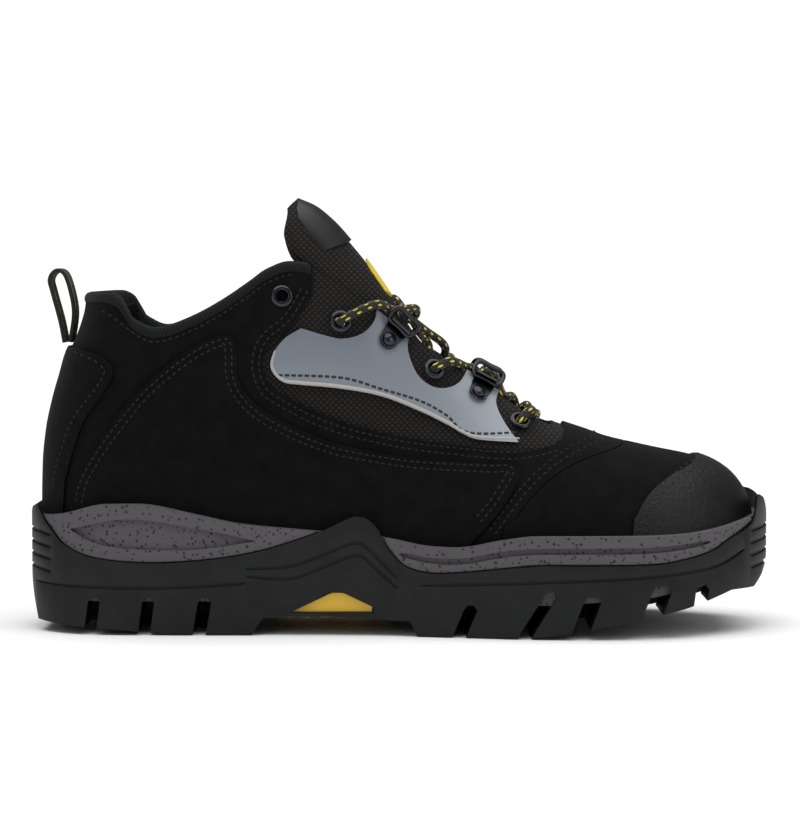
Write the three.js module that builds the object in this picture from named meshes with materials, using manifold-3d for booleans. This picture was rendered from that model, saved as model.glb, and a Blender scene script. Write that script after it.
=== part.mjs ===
// Mid-cut mountaineering boot, one right boot with its lace threaded.
// Millimetres. +X runs to the toe, +Z up, and the outer (lateral) side of the foot faces -Y.
// The boot stands on z = 0 and its origin is under the middle of its length and width.

import * as THREE from 'three';
import { mergeVertices } from 'three/addons/utils/BufferGeometryUtils.js';
import Module from 'manifold-3d';

const wasm = await Module();
wasm.setup();

// ---------------------------------------------------------------- driving dimensions

const LATERAL = -1;
const MEDIAL = 1;
const SIDES = [
  { side: LATERAL, name: 'lateral' },
  { side: MEDIAL, name: 'medial' },
];

const BOOT_LENGTH = 305;
const HEEL_BACK_X = -BOOT_LENGTH / 2;
const TOE_TIP_X = BOOT_LENGTH / 2;
const CLEARANCE = 0.3;

const LATERAL_WIDTH = 57.5; // swing line to the outsole edge at the ball
const MEDIAL_WIDTH = 56;
const HEEL_HALF_WIDTH = 39.5;

const MESH_THICKNESS = 1.2;
const SUEDE_THICKNESS = 1.2;
const OVERLAY_THICKNESS = 1.2;
const LINING_THICKNESS = 1.1;
const STIFFENER_THICKNESS = 1.2;
const COLLAR_PADDING = 5.5; // foam between the textile and the lining at the rim
const COLLAR_BINDING = 3.3; // padding seen above the suede edge

const TREAD_DEPTH = 6;
const OUTSOLE_WALL = 2.6;
const MIDSOLE_INSET = 1.5; // midsole side wall, inside the outsole edge
const UPPER_INSET = 9.2; // innermost layer of the upper, inside the outsole edge
const BOARD_THICKNESS = 2;
const FOOTBED_THICKNESS = 4;

const EYELET_BORE = 5;
const EYELET_WALL = 0.5;
const EYELET_FLANGE = 8.8; // outside diameter
const EYELET_RIM = 0.9; // thickness of each flange
const TOP_EYELET_BORE = 4.6;
const LACE_DIAMETER = 3.6;
const RING_WIRE = 2;
const RING_WIDTH = 14.2;
const PLATE_THICKNESS = 0.9;
const RIVET_DIAMETER = 6;
const LOOP_WEBBING = 1.8;
const LOOP_WIDTH = 14;

// ---------------------------------------------------------------- curves

// A smooth line through hand-set points that never overshoots them.
function smoothLine(points) {
  const count = points.length;
  const slope = [];
  for (let i = 0; i < count - 1; i++) {
    slope.push((points[i + 1][1] - points[i][1]) / (points[i + 1][0] - points[i][0]));
  }
  const tangent = points.map((_, i) => {
    if (i === 0) return slope[0];
    if (i === count - 1) return slope[count - 2];
    const before = slope[i - 1];
    const after = slope[i];
    return before * after <= 0 ? 0 : (2 * before * after) / (before + after);
  });
  return (x) => {
    if (x <= points[0][0]) return points[0][1];
    if (x >= points[count - 1][0]) return points[count - 1][1];
    let i = 0;
    while (x > points[i + 1][0]) i++;
    const width = points[i + 1][0] - points[i][0];
    const t = (x - points[i][0]) / width;
    const t2 = t * t;
    const t3 = t2 * t;
    return (
      points[i][1] * (2 * t3 - 3 * t2 + 1) +
      width * tangent[i] * (t3 - 2 * t2 + t) +
      points[i + 1][1] * (3 * t2 - 2 * t3) +
      width * tangent[i + 1] * (t3 - t2)
    );
  };
}

const clamp01 = (value) => Math.min(1, Math.max(0, value));
const smoothstep = (from, to, value) => THREE.MathUtils.smoothstep(value, from, to);

// The width falls to nothing over the last part of the boot as a superellipse.
function endClosure(x, start, end, power) {
  const share = clamp01((x - start) / (end - start));
  return (1 - share ** power) ** (1 / power);
}

// The foot's long axis swings toward the big toe.
const swing = smoothLine([[55, 0], [90, 1.2], [115, 2.8], [135, 4.5], [TOE_TIP_X, 6]]);

// Half widths of the outsole, before its ends close.
const halfWidth = {
  [LATERAL]: smoothLine([
    [HEEL_BACK_X, HEEL_HALF_WIDTH - 0.5], [-100, HEEL_HALF_WIDTH], [-40, 40], [-10, 41.5],
    [20, 47], [50, 53.5], [75, LATERAL_WIDTH - 0.5], [95, LATERAL_WIDTH], [TOE_TIP_X, 54],
  ]),
  [MEDIAL]: smoothLine([
    [HEEL_BACK_X, HEEL_HALF_WIDTH - 3], [-70, 36], [-40, 33], [-10, 32.5],
    [20, 38.5], [50, 49], [75, MEDIAL_WIDTH - 0.5], [90, MEDIAL_WIDTH], [TOE_TIP_X, 46],
  ]),
};

const HEEL_ARC_START = -110;
const TOE_ARC_START = 85;
const HEEL_POWER = 2.3;
const TOE_POWER = 2.2;

// Half width of the sole's outline drawn a distance inside the outsole edge.
function planHalfWidth(side, x, inset) {
  const heel = endClosure(-x, -HEEL_ARC_START, -(HEEL_BACK_X + inset), HEEL_POWER);
  const toe = endClosure(x, TOE_ARC_START, TOE_TIP_X - inset, TOE_POWER);
  return Math.max(0, halfWidth[side](x) - inset) * heel * toe;
}

// ---------------------------------------------------------------- the upper's surface

// Side profile of the upper's innermost layer: its lower edge, its ridge over the instep
// (carried on upward behind the tongue as the cone of the shaft), its back and its rim.
const featherZ = smoothLine([[-148, 27], [-60, 25], [20, 20], [75, 20], [120, 25], [145, 29]]);
const ridgeLine = smoothLine([
  [-148, 270], [-100, 240], [-60, 203], [-35, 178], [-21, 161], [-14, 152], [-8, 142.5],
  [-2, 133.5], [5, 126], [17, 115], [30, 104], [41, 96], [48, 91.5], [55, 87.5], [62.5, 83.5],
  [76, 78.8], [85, 75.6], [97, 72.8], [108, 70.4], [120, 68.2], [133, 66], [145, 64],
]);
const heelLine = smoothLine([
  [26, -141], [40, -143.5], [52, -144.2], [68, -143.8], [81, -142.4], [93, -139.8],
  [104, -136.6], [111, -134.6], [118, -131.4], [125, -128.8], [131, -127.2], [150, -125.5],
]);
const rimLine = smoothLine([
  [-149, 137.5], [-130, 138], [-119, 136], [-113, 132], [-106.5, 126.5], [-99, 123.5],
  [-94, 124.3], [-84, 128], [-72, 134.5], [-61, 142], [-54, 147], [-45, 150], [-39, 149.5],
  [-35, 147],
]);

const UPPER_HEEL_START = -108;
const UPPER_HEEL_REACH = 40;
const UPPER_TIP_X = TOE_TIP_X - UPPER_INSET;
const TOE_DOME_START = 108;
const TOE_DOME_POWER = 3.4;
const SECTION_RISE = 2; // exponents of the arched cross-section
const SECTION_SPREAD = 2.6;
const THROAT_TOP_X = -35;
const THROAT_ROUND_X = 48;
const THROAT_END_X = 62.5;

function ridgeZ(x) {
  const foot = featherZ(x);
  return foot + (ridgeLine(x) - foot) * endClosure(x, TOE_DOME_START, UPPER_TIP_X, TOE_DOME_POWER);
}

// The shaft spreads a little toward the collar.
function shaftFlare(x, z) {
  return 7 * smoothstep(-20, 25, -x) * smoothstep(45, 115, z);
}

function sectionHalfWidth(side, x, z) {
  const toe = endClosure(x, TOE_ARC_START, UPPER_TIP_X, TOE_POWER);
  // The waist is cut in on the inner side near the sole only.
  const mean = (halfWidth[LATERAL](x) + halfWidth[MEDIAL](x)) / 2;
  const half = THREE.MathUtils.lerp(halfWidth[side](x), mean, smoothstep(38, 85, z));
  return (half - UPPER_INSET + shaftFlare(x, z)) * toe;
}

// u runs 0..1 round the heel, 1..2 along the side and 2..3 round the toe.
function stationX(u) {
  if (u < 1) {
    return UPPER_HEEL_START - UPPER_HEEL_REACH * Math.cos((u * Math.PI) / 2) ** (2 / HEEL_POWER);
  }
  if (u <= 2) return UPPER_HEEL_START + (u - 1) * (TOE_ARC_START - UPPER_HEEL_START);
  return TOE_ARC_START + (UPPER_TIP_X - TOE_ARC_START) * Math.sin(((u - 2) * Math.PI) / 2);
}

function stationOf(x) {
  if (x <= TOE_ARC_START) return 1 + (x - UPPER_HEEL_START) / (TOE_ARC_START - UPPER_HEEL_START);
  const share = (x - TOE_ARC_START) / (UPPER_TIP_X - TOE_ARC_START);
  return 2 + (2 / Math.PI) * Math.asin(share);
}

// A point of the innermost layer: s is the height from the feather line (0) to the ridge (1).
function surfacePoint(side, u, s) {
  const x = stationX(u);
  const foot = featherZ(x);
  const z = foot + (ridgeZ(x) - foot) * s;
  const arch = (1 - Math.min(1, s) ** SECTION_RISE) ** (1 / SECTION_SPREAD);
  const width = sectionHalfWidth(side, x, z) * arch;
  if (u >= 1) return new THREE.Vector3(x, swing(x) + side * width, z);
  const angle = (u * Math.PI) / 2;
  const reach = UPPER_HEEL_START - heelLine(z);
  return new THREE.Vector3(
    UPPER_HEEL_START - reach * Math.cos(angle) ** (2 / HEEL_POWER),
    side * width * Math.sin(angle) ** (2 / HEEL_POWER),
    z,
  );
}

const NORMAL_STEP = 0.004;

function sideNormal(side, u, s) {
  const uMid = THREE.MathUtils.clamp(u, 2 * NORMAL_STEP, 3 - 2 * NORMAL_STEP);
  const sMid = THREE.MathUtils.clamp(s, NORMAL_STEP, 1 - 2 * NORMAL_STEP);
  const along = surfacePoint(side, uMid + NORMAL_STEP, sMid);
  along.sub(surfacePoint(side, uMid - NORMAL_STEP, sMid));
  const up = surfacePoint(side, uMid, sMid + NORMAL_STEP);
  up.sub(surfacePoint(side, uMid, sMid - NORMAL_STEP));
  return along.cross(up).multiplyScalar(-side).normalize();
}

// On the centre line both sides share one normal, so that they meet.
function surfaceNormal(side, u, s) {
  if (u >= 3) return new THREE.Vector3(1, 0, 0);
  if (u > 0 && s < 1) return sideNormal(side, u, s);
  return sideNormal(LATERAL, u, s).add(sideNormal(MEDIAL, u, s)).setY(0).normalize();
}

function offsetPoint(side, u, s, offset) {
  return surfacePoint(side, u, s).addScaledVector(surfaceNormal(side, u, s), offset);
}

// Place on the upper by its side view position and height above the innermost layer.
function onUpper(side, x, z, offset) {
  const s = (z - featherZ(x)) / (ridgeZ(x) - featherZ(x));
  const u = stationOf(x);
  return {
    point: offsetPoint(side, u, s, offset),
    normal: surfaceNormal(side, u, s),
  };
}

// Lacing edge in side view, down from the front corner of the collar.
const throatLine = smoothLine([
  [THROAT_TOP_X, 147], [-26, 141], [-18, 135.5], [-7, 127], [5, 118.3], [17, 110.6], [28, 103],
  [40, 94.9], [THROAT_ROUND_X, 89.6], [THROAT_END_X, 80],
]);

// Top edge of a layer as a share of the section: the rim, the lacing edge, then the ridge.
function topShare(side, u, rimDrop, gapGrowth, lift) {
  const x = stationX(u);
  const foot = featherZ(x);
  if (x < THROAT_TOP_X) {
    const drop = rimDrop * smoothstep(0, 12, THROAT_TOP_X - x);
    return (rimLine(x) - drop + lift - foot) / (ridgeZ(x) - foot);
  }
  const end = THROAT_END_X + gapGrowth / 2;
  if (x >= end - 1e-6) return 1;
  const round = Math.sqrt(1 - clamp01((x - THROAT_ROUND_X) / (end - THROAT_ROUND_X)) ** 2);
  const share = (throatLine(x) - gapGrowth * 0.8 - foot) / (ridgeZ(x) - foot);
  return 1 - (1 - share) * round;
}

// ---------------------------------------------------------------- solids

function solid(geometry) {
  const bare = geometry.clone();
  bare.deleteAttribute('normal');
  bare.deleteAttribute('uv');
  const merged = mergeVertices(bare, 1e-4);
  const index = merged.getIndex().array;
  const triangles = [];
  for (let i = 0; i < index.length; i += 3) {
    const [a, b, c] = [index[i], index[i + 1], index[i + 2]];
    if (a !== b && b !== c && c !== a) triangles.push(a, b, c);
  }
  const mesh = new wasm.Mesh({
    numProp: 3,
    vertProperties: new Float32Array(merged.getAttribute('position').array),
    triVerts: new Uint32Array(triangles),
  });
  mesh.merge();
  return new wasm.Manifold(mesh);
}

// A closed surface from points and faces; it is turned over if it comes out inside out.
function closedSolid(points, triangles) {
  const geometry = new THREE.BufferGeometry();
  geometry.setAttribute('position', new THREE.Float32BufferAttribute(points.flatMap((p) => p.toArray()), 3));
  let volume = 0;
  for (let i = 0; i < triangles.length; i += 3) {
    const [a, b, c] = [points[triangles[i]], points[triangles[i + 1]], points[triangles[i + 2]]];
    volume += a.dot(new THREE.Vector3().crossVectors(b, c)) / 6;
  }
  geometry.setIndex(volume > 0 ? triangles : [...triangles].reverse());
  return solid(geometry);
}

// A cut can leave crumbs; the piece is what is left without them.
function mainBody(body) {
  return body.decompose().sort((a, b) => b.volume() - a.volume())[0];
}

// A sheet of rows x columns points on two faces, with its border closed.
function sheetSolid(front, back) {
  const rows = front.length;
  const columns = front[0].length;
  const points = [...front.flat(), ...back.flat()];
  const backStart = rows * columns;
  const triangles = [];
  const quad = (a, b, c, d) => triangles.push(a, b, c, a, c, d);
  const at = (i, j) => i * columns + j;
  for (let i = 0; i < rows - 1; i++) {
    for (let j = 0; j < columns - 1; j++) {
      quad(at(i, j), at(i + 1, j), at(i + 1, j + 1), at(i, j + 1));
      quad(
        backStart + at(i, j), backStart + at(i, j + 1),
        backStart + at(i + 1, j + 1), backStart + at(i + 1, j),
      );
    }
  }
  for (let i = 0; i < rows - 1; i++) {
    quad(at(i, 0), backStart + at(i, 0), backStart + at(i + 1, 0), at(i + 1, 0));
    const last = columns - 1;
    quad(at(i + 1, last), backStart + at(i + 1, last), backStart + at(i, last), at(i, last));
  }
  for (let j = 0; j < columns - 1; j++) {
    quad(at(0, j + 1), backStart + at(0, j + 1), backStart + at(0, j), at(0, j));
    const last = rows - 1;
    quad(at(last, j), backStart + at(last, j), backStart + at(last, j + 1), at(last, j + 1));
  }
  return closedSolid(points, triangles);
}

// Side-view outline: each run is a line (two points) or a smooth curve through its points.
function outlineShape(runs) {
  const shape = new THREE.Shape();
  shape.moveTo(...runs[0][0]);
  for (const run of runs) {
    if (run.length === 2) shape.lineTo(...run[1]);
    else shape.splineThru(run.slice(1).map(([x, z]) => new THREE.Vector2(x, z)));
  }
  return shape;
}

// Prism of a side-view outline between two Y values.
function sidePrism(runs, yFrom, yTo, segments = 1) {
  const geometry = new THREE.ExtrudeGeometry(outlineShape(runs), {
    depth: yTo - yFrom, bevelEnabled: false, curveSegments: segments,
  });
  geometry.rotateX(Math.PI / 2);
  geometry.translate(0, yTo, 0);
  return solid(geometry);
}

const FAR = 90; // beyond the widest part of the boot

function onSide(side, runs, segments = 1) {
  const near = CLEARANCE / 2;
  return side === LATERAL
    ? sidePrism(runs, -FAR, -near, segments)
    : sidePrism(runs, near, FAR, segments);
}

function polygonRun(points) {
  return points.map((point, i) => [point, points[(i + 1) % points.length]]);
}

// Prism of the sole's outline drawn inside the outsole edge.
const PLAN_STEPS = 22;
function planPrism(inset, zFrom, zTo) {
  const half = (HEEL_BACK_X + inset) * -1;
  const middle = (HEEL_BACK_X + TOE_TIP_X) / 2;
  const stations = [];
  for (let i = 1; i < PLAN_STEPS; i++) stations.push(middle - half * Math.cos((i * Math.PI) / PLAN_STEPS));
  const points = [new THREE.Vector2(middle - half, 0)];
  for (const x of stations) points.push(new THREE.Vector2(x, swing(x) - planHalfWidth(LATERAL, x, inset)));
  points.push(new THREE.Vector2(middle + half, swing(middle + half)));
  for (const x of stations.reverse()) {
    points.push(new THREE.Vector2(x, swing(x) + planHalfWidth(MEDIAL, x, inset)));
  }
  const geometry = new THREE.ExtrudeGeometry(new THREE.Shape(points), {
    depth: zTo - zFrom, bevelEnabled: false,
  });
  geometry.translate(0, 0, zFrom);
  return solid(geometry);
}

// ---------------------------------------------------------------- shells of the upper

function stationStops(throatEnd, heelSteps, sideSteps, toeSteps) {
  const stops = [];
  for (let i = 0; i < heelSteps; i++) stops.push(i / heelSteps);
  const marks = [UPPER_HEEL_START, THROAT_TOP_X, THROAT_ROUND_X, throatEnd, TOE_ARC_START];
  for (let m = 0; m < marks.length - 1; m++) {
    const span = marks[m + 1] - marks[m];
    const steps = Math.max(2, Math.round((span / (TOE_ARC_START - UPPER_HEEL_START)) * sideSteps));
    for (let i = 0; i < steps; i++) stops.push(stationOf(marks[m] + (span * i) / steps));
  }
  for (let i = 0; i <= toeSteps; i++) stops.push(2 + i / toeSteps);
  return stops;
}

const HEEL_STEPS = 5;
const SIDE_STEPS = 13;
const TOE_STEPS = 5;

// Shell over both sides, open along its feather line, its rim and its lacing edges.
function upperShell({
  outer, inner, rimDrop = 0, gapGrowth = 0, lift = 0, bottom = 0, rows = 6, detail = 1,
}) {
  const stops = stationStops(
    THROAT_END_X + gapGrowth / 2, Math.round(HEEL_STEPS * detail), Math.round(SIDE_STEPS * detail),
    Math.round(TOE_STEPS * detail),
  );
  const points = [];
  const triangles = [];
  const quad = (a, b, c, d) => triangles.push(a, b, c, a, c, d);
  for (const { side } of SIDES) {
    const start = points.length;
    const perStation = 2 * (rows + 1);
    const closed = [];
    for (const u of stops) {
      const top = topShare(side, u, rimDrop, gapGrowth, lift);
      closed.push(top === 1);
      const height = ridgeZ(stationX(u)) - featherZ(stationX(u));
      const low = height > 0 ? Math.min(top, bottom / height) : 0;
      for (let j = 0; j <= rows; j++) {
        const from = Math.asin(low);
        const to = Math.asin(top);
        const s = j === rows ? top : Math.sin(from + ((to - from) * j) / rows);
        const z = featherZ(stationX(u)) + height * s;
        points.push(offsetPoint(side, u, s, outer(stationX(u), z)));
        points.push(offsetPoint(side, u, s, inner(stationX(u), z)));
      }
    }
    const out = (i, j) => start + i * perStation + 2 * j;
    const inn = (i, j) => out(i, j) + 1;
    const face = (a, b, c, d) => (side === LATERAL ? quad(a, b, c, d) : quad(d, c, b, a));
    for (let i = 0; i < stops.length - 1; i++) {
      for (let j = 0; j < rows; j++) {
        face(out(i, j), out(i + 1, j), out(i + 1, j + 1), out(i, j + 1));
        face(inn(i, j), inn(i, j + 1), inn(i + 1, j + 1), inn(i + 1, j));
      }
      face(inn(i, 0), inn(i + 1, 0), out(i + 1, 0), out(i, 0));
      if (!(closed[i] && closed[i + 1])) {
        face(out(i, rows), out(i + 1, rows), inn(i + 1, rows), inn(i, rows));
      }
    }
  }
  return closedSolid(points, triangles);
}

// Plate that follows the feather line, between two heights over it.
function soleplate(inset, bottomRise, topRise, xFrom, xTo) {
  const top = [];
  const bottom = [];
  const steps = 22;
  for (let i = 0; i <= steps; i++) {
    const share = (1 - Math.cos((i * Math.PI) / steps)) / 2;
    const x = xFrom + (xTo - xFrom) * share;
    const base = featherZ(x);
    const heel = endClosure(-x, -UPPER_HEEL_START, -xFrom, HEEL_POWER);
    const toe = endClosure(x, TOE_ARC_START, xTo, TOE_POWER);
    const across = (side) => Math.max(0.4, (halfWidth[side](x) - UPPER_INSET - inset) * heel * toe);
    const rows = [-across(LATERAL), across(MEDIAL)];
    top.push(rows.map((y) => new THREE.Vector3(x, swing(x) + y, base + topRise)));
    bottom.push(rows.map((y) => new THREE.Vector3(x, swing(x) + y, base + bottomRise)));
  }
  return sheetSolid(top, bottom);
}

// ---------------------------------------------------------------- the scene

const boot = new THREE.Group();

function finish(color, roughness, metalness = 0) {
  return new THREE.MeshStandardMaterial({ color, roughness, metalness });
}

const FINISHES = {
  rubber: finish('#222326', 0.62),
  foam: finish('#5f5b60', 0.7),
  amber: finish('#d9ae2c', 0.45),
  suede: finish('#101113', 0.95),
  toeLeather: finish('#232325', 0.6),
  mesh: finish('#1c1a18', 0.9),
  tpu: finish('#6b7179', 0.35),
  lining: finish('#141416', 0.95),
  knit: finish('#17181a', 0.9),
  label: finish('#1a1b1e', 0.45),
  yellow: finish('#d8b92e', 0.6),
  webbing: finish('#121214', 0.85),
  lace: finish('#151516', 0.85),
  gunmetal: finish('#2b2b2d', 0.3, 0.9),
  board: finish('#8a8378', 0.9),
  stiffener: finish('#c9c2b4', 0.7),
};

const pieces = new Map();

function addPiece(name, body, material) {
  pieces.set(name, { body, material });
}

function showPiece(name, { body, material }) {
  const mesh = body.getMesh();
  const geometry = new THREE.BufferGeometry();
  geometry.setAttribute('position', new THREE.BufferAttribute(mesh.vertProperties, 3));
  geometry.setIndex(new THREE.BufferAttribute(mesh.triVerts, 1));
  geometry.computeVertexNormals();
  const piece = new THREE.Mesh(geometry, material);
  piece.name = name;
  boot.add(piece);
}

// ---------------------------------------------------------------- sole

const TREAD_PLATE_TOP = 13; // inside floor of the outsole tray

// Outsole in side view, from the heel lip down, along the ground and back over the wall.
const outsoleOutline = [
  [[-150.9, 50.1], [-152.5, 44.7], [-152.5, 28.9], [-151, 17], [-148, 4.5]],
  [[-148, 4.5], [-130, 3], [-108, 1.5], [-90, 0]],
  [[-90, 0], [-60, 0]],
  [[-60, 0], [-55, 7]],
  [[-55, 7], [-28, 7.5], [4, 6]],
  [[4, 6], [7, 0]],
  [[7, 0], [47, 0]],
  [[47, 0], [66, 2], [91, 7], [115, 12], [134, 18]],
  [[134, 18], [144.5, 18]],
  [[144.5, 18], [149, 23], [151.9, 30], [152.5, 38], [152, 46], [149.5, 53.5], [146, 55]],
  [[146, 55], [143.6, 44.5], [132.6, 38.4], [124.6, 34], [112, 31], [98, 29.6], [58, 29.4]],
  [[58, 29.4], [43, 28], [25.6, 26], [12.4, 25.4], [2, 28], [-5.2, 35.5], [-8.6, 42.5]],
  [[-8.6, 42.5], [-12.4, 46.4], [-16.4, 47.8], [-20.4, 47.2], [-30.5, 42.3]],
  [[-30.5, 42.3], [-45, 37.1], [-60, 33], [-76, 30.4], [-95, 29], [-112, 29.4], [-126, 31.4]],
  [[-126, 31.4], [-136, 35.8], [-141, 41], [-144.5, 45], [-148.2, 50.4], [-150.9, 50.1]],
];

// Top edge of the midsole wall, where the upper goes in.
const midsoleTop = smoothLine([
  [-150, 46.5], [-138, 48], [-119, 52.6], [-106, 52.8], [-81, 48.3], [-65, 44.9], [-38, 42.3],
  [-22, 41], [-6, 39.4], [12, 36.2], [22, 35.8], [43, 39.4], [55, 40.8], [99, 41], [114, 41.4],
  [128, 43], [140, 45.4], [148, 47],
]);

// Gaps between the side lugs: where each starts at the ground, its width and how it leans.
const SIDE_SLOTS = [
  { x: -128, width: 5, lean: 2, top: 15 },
  { x: -106, width: 5, lean: 2, top: 15 },
  { x: -84, width: 5.5, lean: 2.5, top: 15 },
  { x: 20.5, width: 5.5, lean: 5, top: 13 },
  { x: 46, width: 5.5, lean: 11, top: 19 },
  { x: 67, width: 7, lean: 6, top: 17 },
  { x: 92.5, width: 8, lean: 8, top: 21 },
  { x: 115.5, width: 5.5, lean: 3, top: 21 },
];
const LUG_DEPTH_ACROSS = 24; // from the outsole edge inward
const GROOVE_WIDTH = 5;

function buildTread(outsole) {
  let carved = outsole;
  for (const { x, width, lean, top } of SIDE_SLOTS) {
    const run = polygonRun([[x, -1], [x + width, -1], [x + width + lean, top], [x + lean, top]]);
    for (const { side } of SIDES) {
      const [yFrom, yTo] = side === LATERAL ? [-FAR, -LUG_DEPTH_ACROSS + 9] : [LUG_DEPTH_ACROSS - 9, FAR];
      carved = carved.subtract(sidePrism(run, yFrom, yTo));
    }
  }
  // Long grooves between the side lugs and the middle ones.
  const floorLine = [[-146, -2], [60, -2], [134, 14], [134, 24], [112, 17], [60, 6], [-146, 6]];
  for (const { side } of SIDES) {
    const y = side * (LUG_DEPTH_ACROSS - GROOVE_WIDTH - 4);
    carved = carved.subtract(sidePrism(polygonRun(floorLine), y - GROOVE_WIDTH / 2, y + GROOVE_WIDTH / 2));
  }
  // Cross grooves through the middle lugs.
  const crossX = [-132, -116, -100, 18, 34, 50, 66, 82, 98, 114];
  const reach = LUG_DEPTH_ACROSS - GROOVE_WIDTH - 4;
  for (const x of crossX) {
    const rise = Math.max(0, x - 50) * 0.2 + (x < -90 ? 1.5 : 0);
    const groove = new THREE.BoxGeometry(GROOVE_WIDTH, 2 * reach, 2 * TREAD_DEPTH);
    groove.translate(x, 0, rise);
    carved = carved.subtract(solid(groove));
  }
  return carved;
}

// Side window of the arch, which shows the coloured shank.
const archWindow = [[-44, 9.2], [-28, 17.4], [-23, 17.6], [-10.5, 11.4], [-10.8, 9.4]];
const ARCH_PLATE = { xFrom: -49, xTo: -6, halfWidth: 20, zFrom: 4.6, zTo: 7.2 };

function insetOutline(points, amount) {
  const count = points.length;
  const centre = points.reduce((sum, [x, z]) => [sum[0] + x / count, sum[1] + z / count], [0, 0]);
  return points.map(([x, z]) => {
    const away = Math.hypot(x - centre[0], z - centre[1]);
    const scale = (away - amount) / away;
    return [centre[0] + (x - centre[0]) * scale, centre[1] + (z - centre[1]) * scale];
  });
}

const SHANK_FIT = insetOutline(archWindow, CLEARANCE * 2);

const toeFloor = [[160, 27], [125, 20.5], [100, 16], [60, TREAD_PLATE_TOP]];

function buildOutsole() {
  const wall = planPrism(0, -2, 60).intersect(sidePrism(outsoleOutline, -FAR, FAR, 2));
  const tray = planPrism(OUTSOLE_WALL, TREAD_PLATE_TOP, 70);
  const toeRise = sidePrism(polygonRun([[60, 0], [160, 0], ...toeFloor]), -FAR, FAR);
  let outsole = buildTread(wall.subtract(tray.subtract(toeRise)));
  outsole = outsole.subtract(sidePrism(polygonRun(archWindow), -FAR, FAR));
  const recess = new THREE.BoxGeometry(
    ARCH_PLATE.xTo - ARCH_PLATE.xFrom, 2 * ARCH_PLATE.halfWidth, 2 * ARCH_PLATE.zTo,
  );
  recess.translate((ARCH_PLATE.xTo + ARCH_PLATE.xFrom) / 2, 0, 0);
  return outsole.subtract(solid(recess)).subtract(upperEnvelope());
}

function buildMidsole() {
  const fit = CLEARANCE;
  const line = (from, to, step, lift) => {
    const points = [];
    for (let x = from; x <= to; x += step) points.push([x, midsoleTop(x) + lift]);
    return points;
  };
  const top = line(-152, 160, 9.75, 0);
  const below = [...toeFloor, [-152, TREAD_PLATE_TOP]].map(([x, z]) => [x, z + fit]);
  const whole = sidePrism(polygonRun([...below, ...top]), -FAR, FAR);
  const core = planPrism(OUTSOLE_WALL + fit, 0, 80).intersect(whole);
  // The wall over the outsole's edge, in a rear and a front stretch either side of the arch peak.
  const rear = [[-153, 46], [-148.2, 50.9], [-144, 45.6], [-140.4, 41.4], [-135.6, 36.4], [-126, 32]];
  const rearOn = [
    [-112, 30], [-95, 29.6], [-76, 31], [-60, 33.6], [-45, 37.7], [-31, 42.7], [-31, 60], [-153, 60],
  ];
  const front = [[-8, 43], [-4.6, 36], [2.4, 28.6], [12.4, 26], [25.6, 26.6], [43, 28.6], [58, 30]];
  const frontOn = [[98, 30.2], [112, 31.6], [124.4, 34.6], [132.4, 39], [143, 45], [145, 60], [-8, 60]];
  const bands = sidePrism(polygonRun([...rear, ...rearOn]), -FAR, FAR).add(
    sidePrism(polygonRun([...front, ...frontOn]), -FAR, FAR),
  );
  const band = planPrism(MIDSOLE_INSET, 0, 80).intersect(whole).intersect(bands);
  return core.add(band).subtract(upperEnvelope()).subtract(sidePrism(polygonRun(archWindow), -FAR, FAR));
}

const LAYER = {
  mesh: [0, MESH_THICKNESS],
  suede: [MESH_THICKNESS + CLEARANCE, MESH_THICKNESS + CLEARANCE + SUEDE_THICKNESS],
};
LAYER.overlay = [LAYER.suede[1] + CLEARANCE, LAYER.suede[1] + CLEARANCE + OVERLAY_THICKNESS];

// Room taken by the whole upper inside the midsole's cup.
function upperEnvelope() {
  const points = [];
  const triangles = [];
  const quad = (a, b, c, d) => triangles.push(a, b, c, a, c, d);
  const stops = stationStops(THROAT_END_X, HEEL_STEPS, SIDE_STEPS, TOE_STEPS);
  const levels = [0, 0.04, 0.08, 0.13, 0.3, 0.5, 0.7, 0.86];
  const room = LAYER.overlay[1] + CLEARANCE + 0.15;
  const ring = 2 * (levels.length + 1);
  for (const u of stops) {
    for (const { side } of SIDES) {
      const foot = offsetPoint(side, u, 0, room);
      points.push(foot.clone().setZ(featherZ(stationX(u)) - BOARD_THICKNESS - 2 * CLEARANCE));
      for (const s of levels) points.push(offsetPoint(side, u, s, room));
    }
  }
  const per = levels.length + 1;
  for (let i = 0; i < stops.length - 1; i++) {
    const a = i * ring;
    const b = a + ring;
    for (let j = 0; j < per - 1; j++) {
      quad(a + j, b + j, b + j + 1, a + j + 1);
      quad(a + per + j + 1, b + per + j + 1, b + per + j, a + per + j);
    }
    quad(a + per, b + per, b, a);
    quad(a + per - 1, b + per - 1, b + ring - 1, a + ring - 1);
  }
  return closedSolid(points, triangles);
}

addPiece('outsole', buildOutsole(), FINISHES.rubber);
addPiece('midsole', buildMidsole(), FINISHES.foam);

const shankEnd = MIDSOLE_INSET + 0.5;
addPiece(
  'arch_shank',
  planPrism(shankEnd, 0, 40).intersect(sidePrism(polygonRun(SHANK_FIT), -FAR, FAR)),
  FINISHES.amber,
);

function buildArchPlate() {
  const { xFrom, xTo, zFrom, zTo } = ARCH_PLATE;
  const length = xTo - xFrom - 2 * CLEARANCE;
  const plate = new THREE.BoxGeometry(length, 2 * (ARCH_PLATE.halfWidth - CLEARANCE), 1.5);
  plate.translate((xFrom + xTo) / 2, 0, zTo - CLEARANCE - 0.75);
  let body = solid(plate);
  const ribs = 6;
  for (let i = 0; i < ribs; i++) {
    const rib = new THREE.BoxGeometry(3, 2 * (ARCH_PLATE.halfWidth - 1), zTo - zFrom - CLEARANCE);
    rib.translate(xFrom + 4 + (i * (length - 7)) / (ribs - 1), 0, (zFrom + zTo - CLEARANCE) / 2);
    body = body.add(solid(rib));
  }
  return body;
}
addPiece('arch_plate', buildArchPlate(), FINISHES.amber);

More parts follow.
